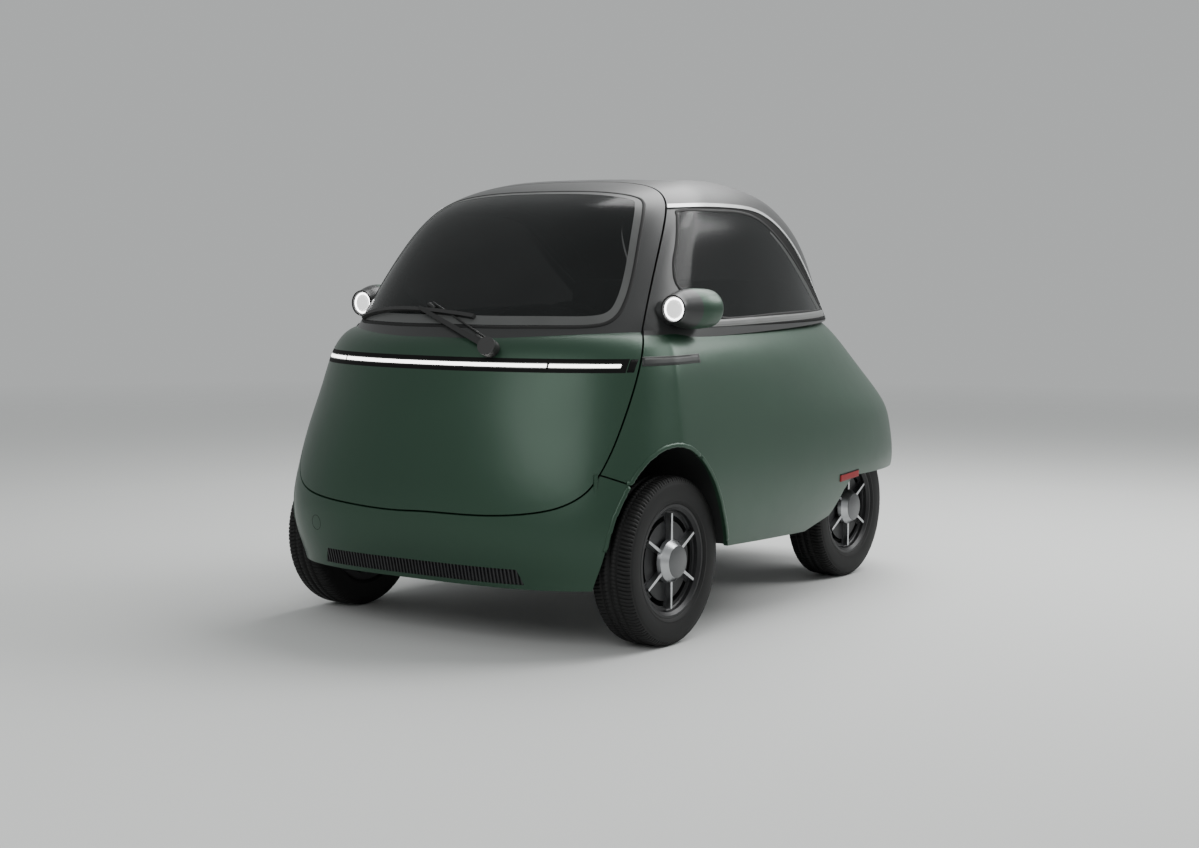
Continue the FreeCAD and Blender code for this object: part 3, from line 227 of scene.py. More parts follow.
def tinted(name, colour, clear):
    """Dark glass that lets less through at a shallow angle."""
    finish = Finish(name, roughness=GLASS_ROUGHNESS, ior=GLASS_IOR, specular_ior_level=GLASS_SHINE)
    shallow = finish.node("ShaderNodeLayerWeight", inputs={"Blend": SHALLOW_BLEND}, output="Facing")
    film = finish.cloud(FILM_SCALE, 3)
    return finish.wear(base_color=finish.blend(film, colour, tone(*[c * FILM_GAIN for c in colour[:3]])),
                       alpha=(shallow * clear + film * FILM_SPREAD + (1 - clear)).clamped())


LENS_ROUGHNESS, LENS_COAT, LENS_HAZE_SCALE, LENS_DIM = 0.12, 0.5, 30, 0.82
RIB_DEPTH, RIB_SHARE, LENS_HAZE_SHARE = 0.0006, 0.08, 0.2
UNLIT = tone(0.004, 0.004, 0.004)


def glowing(name, colour, strength, rib_pitch, band=None):
    """Lit lens with fine ribs moulded into it. A band (height, half width) keeps the light to a line."""
    finish = Finish(name, roughness=LENS_ROUGHNESS, emission_strength=strength, coat_weight=LENS_COAT)
    ribs = (finish.axis("X") * (2 * math.pi / rib_pitch)).sine()
    haze = finish.cloud(LENS_HAZE_SCALE, 2)
    mask = (ribs * RIB_SHARE + haze * LENS_HAZE_SHARE).clamped()
    lit = finish.blend(mask, colour, tone(*[c * LENS_DIM for c in colour[:3]]))
    if band:
        lit = finish.blend((finish.axis("Z") - band[0]).size() < band[1], UNLIT, lit)
    return finish.wear(base_color=lit, emission_color=lit, normal=finish.relief(ribs, RIB_DEPTH, 0.3))


WEAR_SCALE, FUZZ_SCALE, WEAVE_DEPTH_SHARE = 11, 900, 1 / 8


def woven(name, warp, weft, pitch, roughness=0.85):
    """Plain weave: threads cross in object space, so it needs no unwrapped mesh."""
    finish = Finish(name, sheen_weight=0.25, sheen_roughness=0.5)
    turns = 2 * math.pi / pitch
    across = (finish.axis("X") * turns).sine()
    along = ((finish.axis("Y") + finish.axis("Z")) * turns).sine()
    cross = across * along * 0.5 + 0.5
    wear = finish.cloud(WEAR_SCALE, 4)
    fuzz = finish.cloud(FUZZ_SCALE, 2)
    return finish.wear(base_color=finish.blend((cross * 0.6 + wear * 0.5).clamped(), warp, weft),
                       roughness=wear * 0.1 + (roughness - 0.05),
                       normal=finish.relief(cross * 0.7 + fuzz * 0.3, pitch * WEAVE_DEPTH_SHARE, 0.35))


RUBBER_SHINE, RUBBER_ROUGHNESS, RUBBER_SPREAD = 0.22, 0.52, 0.2
GRAIN_SCALE, GRAIN_DEPTH, BLOOM_SCALE, BLOOM_GAIN, BLOOM_LIFT = 700, 0.0004, 16, 1.8, 0.004


def rubber(name, colour):
    """Black rubber with a fine grain and a dusty bloom."""
    finish = Finish(name, specular_ior_level=RUBBER_SHINE)
    grain = finish.cloud(GRAIN_SCALE, 3)
    bloom = finish.cloud(BLOOM_SCALE, 5)
    dusty = tone(*[c * BLOOM_GAIN + BLOOM_LIFT for c in colour[:3]])
    return finish.wear(base_color=finish.blend(bloom, colour, dusty),
                       roughness=bloom * RUBBER_SPREAD + RUBBER_ROUGHNESS,
                       normal=finish.relief(grain, GRAIN_DEPTH, 0.35))


BAR_HEIGHT, BAR_HALF, LIT_HALF = 0.876, 0.0195, 0.0053

# Finishes
GREEN = paint("body_green", tone(0.010, 0.036, 0.020), tone(0.020, 0.058, 0.033), 0.45, 0.43, 0.22)
GRAPHITE = paint("graphite_paint", tone(0.020, 0.021, 0.021), tone(0.036, 0.037, 0.037), 0.40, 0.42, 0.22)
BLACK = moulded("black_plastic_finish", tone(0.012, 0.012, 0.013), 0.48, 900, 0.0003)
GREY_BAND = moulded("screen_border", tone(0.058, 0.060, 0.059), 0.38, 1400, 0.0001, shine=0.35)
# Light grey for the inlay's thin edge frame, and for the strip on the window frame's lower rail: a painted sheen
# of that rail.
TRIM_AND_SHEEN_GREY = moulded("belt_sheen_and_trim_grey", tone(0.14, 0.143, 0.14), 0.36, 1400, 0.0001, 0.3)
INLAY = moulded("inlay_grey", tone(0.022, 0.024, 0.023), 0.45, 900, 0.0002, shine=0.3)
# Black for real dark joints, seams and the light bar's channel, and also for black sheets laid where only shade
# falls: painted shade.
JOINT_AND_SHADE_BLACK = moulded("joint_and_painted_shade_black", tone(0.003, 0.003, 0.003), 0.6, 900, 0.0002, shine=0.08)
REFLECTOR = moulded("red_reflector", tone(0.17, 0.010, 0.012), 0.5, 900, 0.0002, shine=0.15)
WIPER_BLACK = moulded("wiper_black", tone(0.007, 0.007, 0.007), 0.55, 900, 0.0003)
LINING = moulded("door_lining_grain", tone(0.030, 0.031, 0.031), 0.6, 700, 0.0006)
GASKET = rubber("gasket_rubber", tone(0.006, 0.006, 0.006))
GLASS = tinted("dark_glass", tone(0.013, 0.014, 0.014), 0.42)
CHROME = moulded("chrome_strip", tone(0.60, 0.61, 0.61), 0.24, 1400, 0.0001, 0.45, 0.6)
SILVER = brushed("silver_cast", tone(0.50, 0.51, 0.52), 0.30, (2, 2, 2))
HUB_FACE = brushed("hub_face_finish", tone(0.13, 0.132, 0.135), 0.36, (2, 2, 2))
WHEEL_GREY = paint("wheel_grey", tone(0.009, 0.009, 0.010), tone(0.018, 0.018, 0.019), 0.5, 0.45, 0.08)
WHITE_LIGHT = glowing("white_light", tone(1.0, 0.99, 0.96), 5.0, 0.004, (BAR_HEIGHT, LIT_HALF))
LAMP_LIGHT = glowing("lamp_light", tone(0.85, 0.85, 0.84), 0.9, 0.008)
RING_LIGHT = glowing("ring_light", tone(1.0, 1.0, 1.0), 7.0, 0.008)
RED_LENS = glowing("red_lens_finish", tone(0.16, 0.004, 0.004), 0.12, 0.006)
CANVAS = woven("roof_canvas", tone(0.020, 0.020, 0.021), tone(0.050, 0.050, 0.052), 0.0026)
SEAT_CLOTH = woven("seat_cloth_finish", tone(0.030, 0.031, 0.032), tone(0.055, 0.056, 0.057), 0.0030)
CARPET = woven("mat_carpet", tone(0.014, 0.014, 0.015), tone(0.034, 0.034, 0.036), 0.0040, 0.95)
TYRE = rubber("tyre_rubber_finish", tone(0.0055, 0.0055, 0.0055))
UNDERSIDE = moulded("underbody_coat", tone(0.016, 0.017, 0.017), 0.62, 260, 0.0012)
CAST = moulded("cast_black_finish", tone(0.022, 0.022, 0.023), 0.5, 500, 0.0008, 0.4)
STEEL = brushed("axle_steel_finish", tone(0.34, 0.34, 0.35), 0.4, (1, 1, 1))
ALLOY = moulded("motor_alloy_finish", tone(0.36, 0.37, 0.38), 0.42, 300, 0.0008, 0.9)
CASE = moulded("battery_case_finish", tone(0.05, 0.05, 0.055), 0.5, 500, 0.0004)
MIRROR = brushed("mirror_silver", tone(0.9, 0.9, 0.9), 0.09, (1, 1, 1))

NODE_FINISHES = {
    GREEN: ["front_bumper", "body_side_left", "body_side_right", "rear_panel", "front_door_panel", "hatch_panel",
            "mirror_shells"],
    GRAPHITE: ["door_frame", "side_frame_left", "side_frame_right", "roof_panel", "hatch_frame", "lamp_pods"],
    JOINT_AND_SHADE_BLACK: ["light_bar"],
    BLACK: ["bumper_grille", "dash_bar", "steering_wheel", "steering_column"],
    WIPER_BLACK: ["wiper"],
    WHITE_LIGHT: ["light_bar_lens"],
    LAMP_LIGHT: ["headlamps"],
    RED_LENS: ["rear_light_bar"],
    GLASS: ["windscreen", "side_windows", "hatch_glass"],
    CHROME: ["roof_trim"],
    UNDERSIDE: ["floor_pan"],
    CAST: ["knuckle_left", "knuckle_right", "front_suspension"],
    STEEL: ["rear_axle"],
    ALLOY: ["motor"],
    CASE: ["battery"],
    MIRROR: ["mirror_glasses"],
    WHEEL_GREY: ["wheel_front_left", "wheel_front_right", "wheel_rear_left", "wheel_rear_right"],
    SILVER: ["hub_spider_front_left", "hub_spider_front_right", "hub_spider_rear_left", "hub_spider_rear_right"],
}
for finish, names in NODE_FINISHES.items():
    for name in names:
        mesh = nodes[name].data
        mesh.materials.clear()
        mesh.materials.append(finish.material)


# Making pieces
def piece(name, vertices, faces, body, finish, smooth=True):
    mesh = bpy.data.meshes.new(name)
    mesh.from_pydata([tuple(v) for v in vertices], [], faces)
    mesh.materials.append(finish.material)
    mesh.polygons.foreach_set("use_smooth", [smooth] * len(mesh.polygons))
    mesh.update()
    thing = bpy.data.objects.new(name, mesh)
    bpy.context.scene.collection.objects.link(thing)
    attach(thing, body)
    return thing


def grid_faces(rows, columns, close_rows=False, close_columns=False):
    """Quads of a grid of points stored row by row."""
    faces = []
    for i in range(rows if close_rows else rows - 1):
        for j in range(columns if close_columns else columns - 1):
            below, beside = (i + 1) % rows, (j + 1) % columns
            faces.append((i * columns + j, i * columns + beside, below * columns + beside, below * columns + j))
    return faces


def skin(*names):
    """A search tree over CAD nodes, to lay trim on their outer faces."""
    vertices, polygons = [], []
    for name in names:
        start = len(vertices)
        vertices += [v.co.copy() for v in nodes[name].data.vertices]
        polygons += [[start + k for k in face.vertices] for face in nodes[name].data.polygons]
    return BVHTree.FromPolygons(vertices, polygons)


FAR, SIDE_FAR = 3, 2
TO_REAR, TO_FRONT, DOWN = Vector((0, 1, 0)), Vector((0, -1, 0)), Vector((0, 0, -1))
NUDGE_WAYS = [(1, 0, 0), (-1, 0, 0), (0, 0, 1), (0, 0, -1), (0, 1, 0), (0, -1, 0)]
NUDGE_REACHES = (0, 0.003, 0.008, 0.02)
NUDGES = [Vector(way) * reach for reach in NUDGE_REACHES for way in NUDGE_WAYS]


def meet(tree, start, toward):
    """Where a ray from outside first meets a skin, and the way out there.

    A ray down a gap is nudged aside."""
    for nudge in NUDGES:
        spot, normal, _, _ = tree.ray_cast(start + nudge, toward.normalized())
        if spot:
            return spot - nudge, normal if normal.dot(toward) < 0 else -normal
    return None


def bead(name, path, section, body, finish, closed=True):
    """A strip along points of a skin. The section is (sideways, outward) offsets."""
    count = len(path)
    vertices = []
    for k, (spot, normal) in enumerate(path):
        before = path[(k - 1) % count if closed else max(k - 1, 0)][0]
        after = path[(k + 1) % count if closed else min(k + 1, count - 1)][0]
        sideways = (after - before).normalized().cross(normal).normalized()
        vertices += [spot + sideways * a + normal * b for a, b in section]
    faces = grid_faces(count, len(section), closed, True)
    if not closed:
        faces += [tuple(range(len(section)))[::-1], tuple(range(len(vertices) - len(section), len(vertices)))]
    return piece(name, vertices, faces, body, finish)


def band(name, rails, lift, body, finish, slot, closed=True):
    """A thin cover between rails, each a list of points of a skin."""
    vertices = [spot + normal * lift for rail in rails for spot, normal in rail]
    return piece(name, vertices, grid_faces(len(rails), len(rails[0]), False, closed), body, finish)


def round_section(width, height, sink=0.002, steps=6):
    """Half an ellipse that stands on the skin."""
    arc = [(-width / 2 * math.cos(math.pi * k / steps), height * math.sin(math.pi * k / steps))
           for k in range(steps + 1)]
    return [(-width / 2, -sink)] + arc + [(width / 2, -sink)]


def smooth_line(points, steps, closed=True):
    """A Catmull-Rom line through points."""
    count = len(points)
    line = []
    for k in range(count if closed else count - 1):
        places = [(k + d) % count if closed else min(max(k + d, 0), count - 1) for d in (-1, 0, 1, 2)]
        a, b, c, d = [np.array(points[place], float) for place in places]
        for step in range(steps):
            t = step / steps
            line.append(tuple(0.5 * (2 * b + (c - a) * t + (2 * a - 5 * b + 4 * c - d) * t ** 2
                                     + (3 * b - a - 3 * c + d) * t ** 3)))
    if not closed:
        line.append(tuple(points[-1]))
    return line


def grown(outline, growth):
    """Each point of a closed outline moved out along its normal."""
    count = len(outline)
    result = []
    for k, (a, b) in enumerate(outline):
        before, after = outline[k - 1], outline[(k + 1) % count]
        run, rise = after[0] - before[0], after[1] - before[1]
        long = math.hypot(run, rise)
        result.append((a + growth * rise / long, b - growth * run / long))
    return result


def mirrored(half_points):
    return half_points + [(-a, b) for a, b in reversed(half_points[1:-1])]


# Windscreen and rear glass: outlines as seen from a point in the cabin
SCREEN_OUTLINE = mirrored([
    (0, -0.185), (0.300, -0.172), (0.600, -0.115), (0.790, -0.045), (0.872, 0.040), (0.886, 0.160),
    (0.856, 0.325), (0.785, 0.569), (0.728, 0.780), (0.695, 0.870), (0.630, 0.915), (0.400, 0.930),
    (0, 0.935)])
REAR_GLASS_OUTLINE = mirrored([
    (0, -0.05), (0.30, -0.04), (0.50, -0.02), (0.575, 0.06), (0.55, 0.25), (0.49, 0.50),
    (0.44, 0.66), (0.36, 0.74), (0.18, 0.77), (0, 0.775)])
DOOR_EYE, DOOR_LEAN = Vector((0, -0.437, 0.629)), math.radians(40)
HATCH_EYE, HATCH_LEAN = Vector((0, 0.250, 0.560)), math.radians(42)


def seen_outline(tree, outline, eye, lean, forward, growth):
    """The outline, grown in tangent units, where it falls on a skin."""
    toward = Vector((0, forward * math.cos(lean), math.sin(lean)))
    upward = Vector((0, -forward * math.sin(lean), math.cos(lean)))
    path = []
    for a, b in grown(smooth_line(outline, 8), growth):
        way = (toward + upward * b + Vector((a, 0, 0))).normalized()
        path.append(meet(tree, eye + way * FAR, -way))
    return path


GASKET_SECTION = round_section(0.012, 0.0022)
GASKET_GROWTH, BORDER_LIFT = 0.005, 0.0006
SCREEN_BORDER_GROWTHS = (-0.006, -0.022, -0.040, -0.058)
REAR_BORDER_GROWTHS = SCREEN_BORDER_GROWTHS[:3]
screen_skin = skin("windscreen", "door_frame")
rear_skin = skin("hatch_glass", "hatch_frame")


def screen_path(growth):
    return seen_outline(screen_skin, SCREEN_OUTLINE, DOOR_EYE, DOOR_LEAN, -1, growth)


def rear_path(growth):
    return seen_outline(rear_skin, REAR_GLASS_OUTLINE, HATCH_EYE, HATCH_LEAN, 1, growth)


bead("screen_gasket", screen_path(GASKET_GROWTH), GASKET_SECTION, "front_door", GASKET)
band("screen_border", [screen_path(growth) for growth in SCREEN_BORDER_GROWTHS], BORDER_LIFT, "front_door",
     GREY_BAND, "dark_paint")
bead("rear_glass_gasket", rear_path(GASKET_GROWTH), GASKET_SECTION, "hatch", GASKET)
band("rear_glass_border", [rear_path(growth) for growth in REAR_BORDER_GROWTHS], BORDER_LIFT, "hatch",
     GREY_BAND, "dark_paint")

# Side windows, outlines in the side view
BODY_HALF_LENGTH, BODY_HEIGHT = 1.2595, 1.490
WINDOW_OUTLINE = [(y * BODY_HALF_LENGTH, z * BODY_HEIGHT) for y, z in (
    (-0.383, 0.9115), (-0.250, 0.9140), (-0.096, 0.9135), (0.011, 0.8973), (0.117, 0.8517),
    (0.245, 0.7792), (0.360, 0.715), (0.410, 0.690), (0.330, 0.6870), (0.168, 0.6872),
    (-0.036, 0.6852), (-0.329, 0.6812), (-0.420, 0.7100), (-0.4950, 0.7477), (-0.4890, 0.7933),
    (-0.4534, 0.8389), (-0.410, 0.895))]
WINDOW_STEPS = 6
WINDOW_GASKET_GROWTH = -0.0035
side_skin = {hand: skin(f"side_frame_{hand}", "side_windows") for hand in ("left", "right")}


def side_path(hand, points):
    way = Vector((-1 if hand == "left" else 1, 0, 0))
    path = [meet(side_skin[hand], Vector((-SIDE_FAR * way.x, y, z)), way) for y, z in points]
    return [found for found in path if found]


for hand in ("left", "right"):
    outline = grown(smooth_line(WINDOW_OUTLINE, WINDOW_STEPS), WINDOW_GASKET_GROWTH)
    bead(f"window_gasket_{hand}", side_path(hand, outline), GASKET_SECTION, "root", GASKET)

RIM_SINK = 0.0015


def plate(name, tree, spot_of, way, columns, rows, height, body, finish):
    """A raised cover on a skin. Its rim is sunk; shares across and along run from 0 to 1."""
    vertices = []
    for i in range(rows + 3):
        for j in range(columns + 3):
            u = min(max((j - 1) / columns, 0), 1)
            v = min(max((i - 1) / rows, 0), 1)
            spot, normal = meet(tree, spot_of(u, v), way)
            rim = i in (0, rows + 2) or j in (0, columns + 2)
            vertices.append(spot + normal * (-RIM_SINK if rim else height))
    return piece(name, vertices, grid_faces(rows + 3, columns + 3), body, finish)


# Light bar: joints of the lens, and its black channel drawn out to the door's edge
JOINT_X, JOINT_HALF, JOINT_LOW, JOINT_RISE, JOINT_LIFT = 0.408, 0.003, 0.8665, 0.019, 0.0006
lens_skin = skin("light_bar_lens", "light_bar")
for k, x in enumerate((-JOINT_X, JOINT_X)):
    plate(f"strip_joint_{k}", lens_skin,
          lambda u, v: Vector((x - JOINT_HALF + 2 * JOINT_HALF * u, -FAR, JOINT_LOW + JOINT_RISE * v)),
          TO_REAR, 1, 4, JOINT_LIFT, "front_door", JOINT_AND_SHADE_BLACK)

panel_skin = skin("front_door_panel")
BAR_END, SEAM_SEARCH_END, SEAM_STEP, SEAM_ROOM = 0.603, 0.70, 0.001, 0.002


def on_panel(x, rise):
    return panel_skin.ray_cast(Vector((x, -FAR, BAR_HEIGHT + rise)), TO_REAR)[0]


seam_x = max(x for x in np.arange(BAR_END, SEAM_SEARCH_END, SEAM_STEP)
             if on_panel(x, -BAR_HALF) and on_panel(x, BAR_HALF))
strip_run = seam_x - SEAM_ROOM - BAR_END
for hand, sign in (("left", 1), ("right", -1)):
    plate(f"strip_end_{hand}", panel_skin,
          lambda u, v: Vector((sign * (BAR_END + strip_run * u), -FAR, BAR_HEIGHT + BAR_HALF * (2 * v - 1))),
          TO_REAR, 8, 4, JOINT_LIFT, "front_door", JOINT_AND_SHADE_BLACK)


# Trim of the sides, in the side view, and at the window a painted sheen strip and painted shade bands
WINDOW_FLOOR = [(-0.414, 1.015), (-0.045, 1.021), (0.212, 1.024), (0.516, 1.028)]
ROOF_EDGE = [
    (-0.655, 1.377), (-0.519, 1.377), (-0.322, 1.385), (-0.144, 1.385), (0.000, 1.376), (0.126, 1.342),
    (0.237, 1.284), (0.365, 1.192), (0.504, 1.080), (0.655, 0.9685),
]
INLAY_FRONT, INLAY_RUN, INLAY_LOW, INLAY_RISE = -0.898, 0.250, 0.8745, 0.026
INLAY_CLIMB, INLAY_SLANT, INLAY_LIFT = 0.004, 0.008, 0.0010
INLAY_TOP_LINE, INLAY_END_LINE = ((-0.899, 0.9015), (0.252, 0.004)), ((-0.647, 0.9055), (-0.007, -0.028))
REFLECTOR_FRONT, REFLECTOR_RUN, REFLECTOR_LOW, REFLECTOR_RISE = 0.259, 0.170, 0.4195, 0.022
REFLECTOR_CLIMB, REFLECTOR_LIFT = 0.005, 0.0030
BROW_LINE = ((REFLECTOR_FRONT, 0.4440), (REFLECTOR_RUN, REFLECTOR_CLIMB))
BELT_SHEEN_FRONT, BELT_SHEEN_RUN, BELT_SHEEN_DROP, BELT_SHEEN_RISE, BELT_SHEEN_LIFT = -0.520, 1.100, 0.029, 0.022, 0.0022
SHADOW_FRONT, SHADOW_RUN, SHADOW_LOW, SHADOW_DROP, SHADOW_LIFT = -0.540, 1.130, 0.985, 1.0155, 0.0008
INLAY_EDGE_SECTION, BROW_SECTION = round_section(0.0022, 0.0014), round_section(0.004, 0.0035)
ARC_STEPS, ARC_SHARES, EDGE_SHARES = 44, (0.06, 0.995), (0.14, 0.905)
ARC_GAP, EDGE_GAP, ARC_RAILS, ARC_LIFT = 0.004, -0.0078, (0, 0.33, 0.67, 1), 0.0009
BORDER_STEPS, BORDER_SHARES, BORDER_GAP, BORDER_WIDTHS = 24, (0.52, 0.985), 0.006, (0.010, 0.042)


def window_floor(y):
    """Height of the lower edge of the side window."""
    return float(np.interp(y, *zip(*WINDOW_FLOOR)))


def side_spot(hand, y, z):
    return Vector((SIDE_FAR if hand == "left" else -SIDE_FAR, y, z))


def points_of(line, shares):
    """Points of a straight line given by its start and its run."""
    start, run = line
    return [(start[0] + run[0] * share, start[1] + run[1] * share) for share in shares]


def evenly(line, start_share, finish_share, count):
    """Points at even steps along a line, between shares of its length."""
    line = np.array(line)
    lengths = np.concatenate([[0], np.cumsum(np.linalg.norm(np.diff(line, axis=0), axis=1))])
    spots = np.linspace(start_share, finish_share, count) * lengths[-1]
    return list(zip(np.interp(spots, lengths, line[:, 0]), np.interp(spots, lengths, line[:, 1])))


def moved(line, offset):
    """An open line moved along its normals, by one offset or one for each point."""
    line = np.array(line)
    run = np.gradient(line, axis=0)
    run /= np.linalg.norm(run, axis=1)[:, None]
    return line + np.stack([-run[:, 1], run[:, 0]], 1) * np.reshape(offset, (-1, 1) if np.ndim(offset) else ())


edge_line = smooth_line(ROOF_EDGE, 8, False)
window_arc = smooth_line(WINDOW_OUTLINE[:8], 8, False)
for hand in ("left", "right"):
    inward = Vector((-1 if hand == "left" else 1, 0, 0))
    body_skin = skin(f"body_side_{hand}")
    frame_skin = side_skin[hand]

    def inlay_spot(u, v):
        return side_spot(hand, INLAY_FRONT + INLAY_RUN * u - INLAY_SLANT * (1 - v) * (1 - u),
                         INLAY_LOW + INLAY_RISE * v + INLAY_CLIMB * u)

    def reflector_spot(u, v):
        return side_spot(hand, REFLECTOR_FRONT + REFLECTOR_RUN * u,
                         REFLECTOR_LOW + REFLECTOR_RISE * v + REFLECTOR_CLIMB * u)

    def belt_sheen_spot(u, v):
        y = BELT_SHEEN_FRONT + BELT_SHEEN_RUN * u
        return side_spot(hand, y, window_floor(y) - BELT_SHEEN_DROP + BELT_SHEEN_RISE * v)

    def shadow_spot(u, v):
        y = SHADOW_FRONT + SHADOW_RUN * u
        return side_spot(hand, y, SHADOW_LOW + (window_floor(y) - SHADOW_DROP) * v)

    def on_side(tree, points):
        return [meet(tree, side_spot(hand, y, z), inward) for y, z in points]

    plate(f"side_inlay_{hand}", body_skin, inlay_spot, inward, 24, 3, INLAY_LIFT, "root", INLAY)
    inlay_edge = points_of(INLAY_TOP_LINE, np.linspace(0, 1, 20))
    inlay_edge += points_of(INLAY_END_LINE, np.linspace(0.1, 1, 6))
    bead(f"side_inlay_edge_{hand}", on_side(body_skin, inlay_edge), INLAY_EDGE_SECTION, "root", TRIM_AND_SHEEN_GREY,
         False)
    plate(f"side_reflector_{hand}", body_skin, reflector_spot, inward, 16, 4, REFLECTOR_LIFT, "root", REFLECTOR)
    bead(f"reflector_brow_{hand}", on_side(body_skin, points_of(BROW_LINE, np.linspace(0, 1, 14))),
         BROW_SECTION, "root", JOINT_AND_SHADE_BLACK, False)
    # Light grey strip over the graphite frame's lower rail: a painted sheen of that rail.
    plate(f"belt_sheen_and_trim_grey_{hand}", frame_skin, belt_sheen_spot, inward, 60, 3, BELT_SHEEN_LIFT, "root", TRIM_AND_SHEEN_GREY)
    # Black sheet below the belt strip: a painted shadow of the gap under it.
    plate(f"belt_shadow_{hand}", frame_skin, shadow_spot, inward, 60, 2, SHADOW_LIFT, "root", JOINT_AND_SHADE_BLACK)

    # Black band over the frame along the window's rear arc: painted shade of the glass's recessed return.
    inner = moved(evenly(window_arc, *ARC_SHARES, ARC_STEPS), ARC_GAP)
    outer = moved(evenly(edge_line, *EDGE_SHARES, ARC_STEPS), EDGE_GAP)
    rails = [on_side(frame_skin, inner * (1 - share) + outer * share) for share in ARC_RAILS]
    band(f"arc_shade_band_{hand}", rails, ARC_LIFT, "root", JOINT_AND_SHADE_BLACK, "black_plastic", False)

    border = evenly(window_arc, *BORDER_SHARES, BORDER_STEPS)
    widths = np.linspace(*BORDER_WIDTHS, BORDER_STEPS)
    rails = [on_side(frame_skin, moved(border, -BORDER_GAP - widths * share)) for share in (0, 0.5, 1)]
    band(f"side_glass_border_{hand}", rails, BORDER_LIFT, "root", INLAY, "dark_paint", False)


# Rolled lips of the front wheel arches
ARCH_CENTRE, ARCH_LIP = (-0.800, 0.330), 0.0045
ARCH_REACHES, ARCH_TURN, ARCH_STEPS = np.arange(0.20, 0.50, 0.002), (-0.10, 3.16), 140
LIP_SECTION, TOUCH = round_section(0.014, 0.0030, 0.001), 0.0005


def arch_edge(tree, hand, angle):
    """Where a skin begins on a line out from the middle of the arch."""
    way = Vector((-1 if hand == "left" else 1, 0, 0))
    for reach in ARCH_REACHES:
        start = side_spot(hand, ARCH_CENTRE[0] + (reach + ARCH_LIP) * math.cos(angle),
                          ARCH_CENTRE[1] + (reach + ARCH_LIP) * math.sin(angle))
        spot, normal, _, _ = tree.ray_cast(start, way)
        if spot and spot.x * start.x > 0:
            return spot, normal if normal.dot(way) < 0 else -normal
    return None


for hand in ("left", "right"):
    both, bumper = skin(f"body_side_{hand}", "front_bumper"), skin("front_bumper")
    lip = [arch_edge(both, hand, angle) for angle in np.linspace(*ARCH_TURN, ARCH_STEPS)]
    lip = [(found, bumper.find_nearest(found[0])[3] < TOUCH) for found in lip if found]
    for part, on_bumper in (("rear", False), ("front", True)):
        bead(f"arch_lip_{part}_{hand}", [found for found, here in lip if here == on_bumper], LIP_SECTION, "root",
             GREEN, False)


# Head lamps: a dark bezel and a bright ring in each pod
def ring(name, centre, axis, radius, section, body, finish, around=64):
    """A ring turned about an axis. The section is (outward, forward) offsets."""
    axis = Vector(axis).normalized()
    side = axis.orthogonal().normalized()
    other = axis.cross(side)
    vertices = []
    for k in range(around):
        angle = 2 * math.pi * k / around
        out = side * math.cos(angle) + other * math.sin(angle)
        vertices += [Vector(centre) + out * (radius + a) + axis * b for a, b in section]
    return piece(name, vertices, grid_faces(around, len(section), True, True), body, finish)


def disc_section(width, depth, steps=8):
    return [(width / 2 * math.cos(2 * math.pi * k / steps), depth / 2 * math.sin(2 * math.pi * k / steps))
            for k in range(steps)]


LAMP_SPOT = (0.644, -0.746, 1.047)
BEZEL_RADIUS, BEZEL_SECTION = 0.0420, disc_section(0.0055, 0.0060)
LIT_RING_RADIUS, LIT_RING_DEPTH, LIT_RING_SECTION = 0.0335, 0.0028, disc_section(0.0050, 0.0030)
for hand, sign in (("left", 1), ("right", -1)):
    centre = (sign * LAMP_SPOT[0], LAMP_SPOT[1], LAMP_SPOT[2])
    ring(f"lamp_bezel_{hand}", centre, TO_REAR, BEZEL_RADIUS, BEZEL_SECTION, "root", GASKET)
    lit_centre = (centre[0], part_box("headlamps")[0].y + LIT_RING_DEPTH, centre[2])
    ring(f"lamp_ring_{hand}", lit_centre, TO_REAR, LIT_RING_RADIUS, LIT_RING_SECTION, "root", RING_LIGHT)


def turned(name, centre, axis, profile, body, finish, around=48):
    """A closed solid of revolution. The profile is (radius, along) from the axis round to the axis."""
    axis = Vector(axis).normalized()
    side = axis.orthogonal().normalized()
    other = axis.cross(side)
    vertices = []
    for radius, along in profile:
        for k in range(around):
            angle = 2 * math.pi * k / around
            vertices.append(Vector(centre) + (side * math.cos(angle) + other * math.sin(angle)) * radius
                            + axis * along)
    faces = grid_faces(len(profile), around, False, True)
    faces += [tuple(range(around)), tuple(range(len(vertices) - around, len(vertices)))[::-1]]
    return piece(name, vertices, faces, body, finish)


def tube(name, path, radius, body, finish, around=10, closed=False):
    """A round rod along points."""
    count = len(path)
    vertices = []
    side = None
    for k, spot in enumerate(path):
        before = path[k - 1] if k or closed else path[0]
        after = path[(k + 1) % count] if k < count - 1 or closed else path[-1]
        along = (Vector(after) - Vector(before)).normalized()
        side = (along.orthogonal() if side is None else side - along * side.dot(along)).normalized()
        other = along.cross(side)
        vertices += [Vector(spot) + (side * math.cos(a) + other * math.sin(a)) * radius
                     for a in (2 * math.pi * j / around for j in range(around))]
    faces = grid_faces(count, around, closed, True)
    if not closed:
        faces += [tuple(range(around))[::-1], tuple(range(len(vertices) - around, len(vertices)))]
    return piece(name, vertices, faces, body, finish)


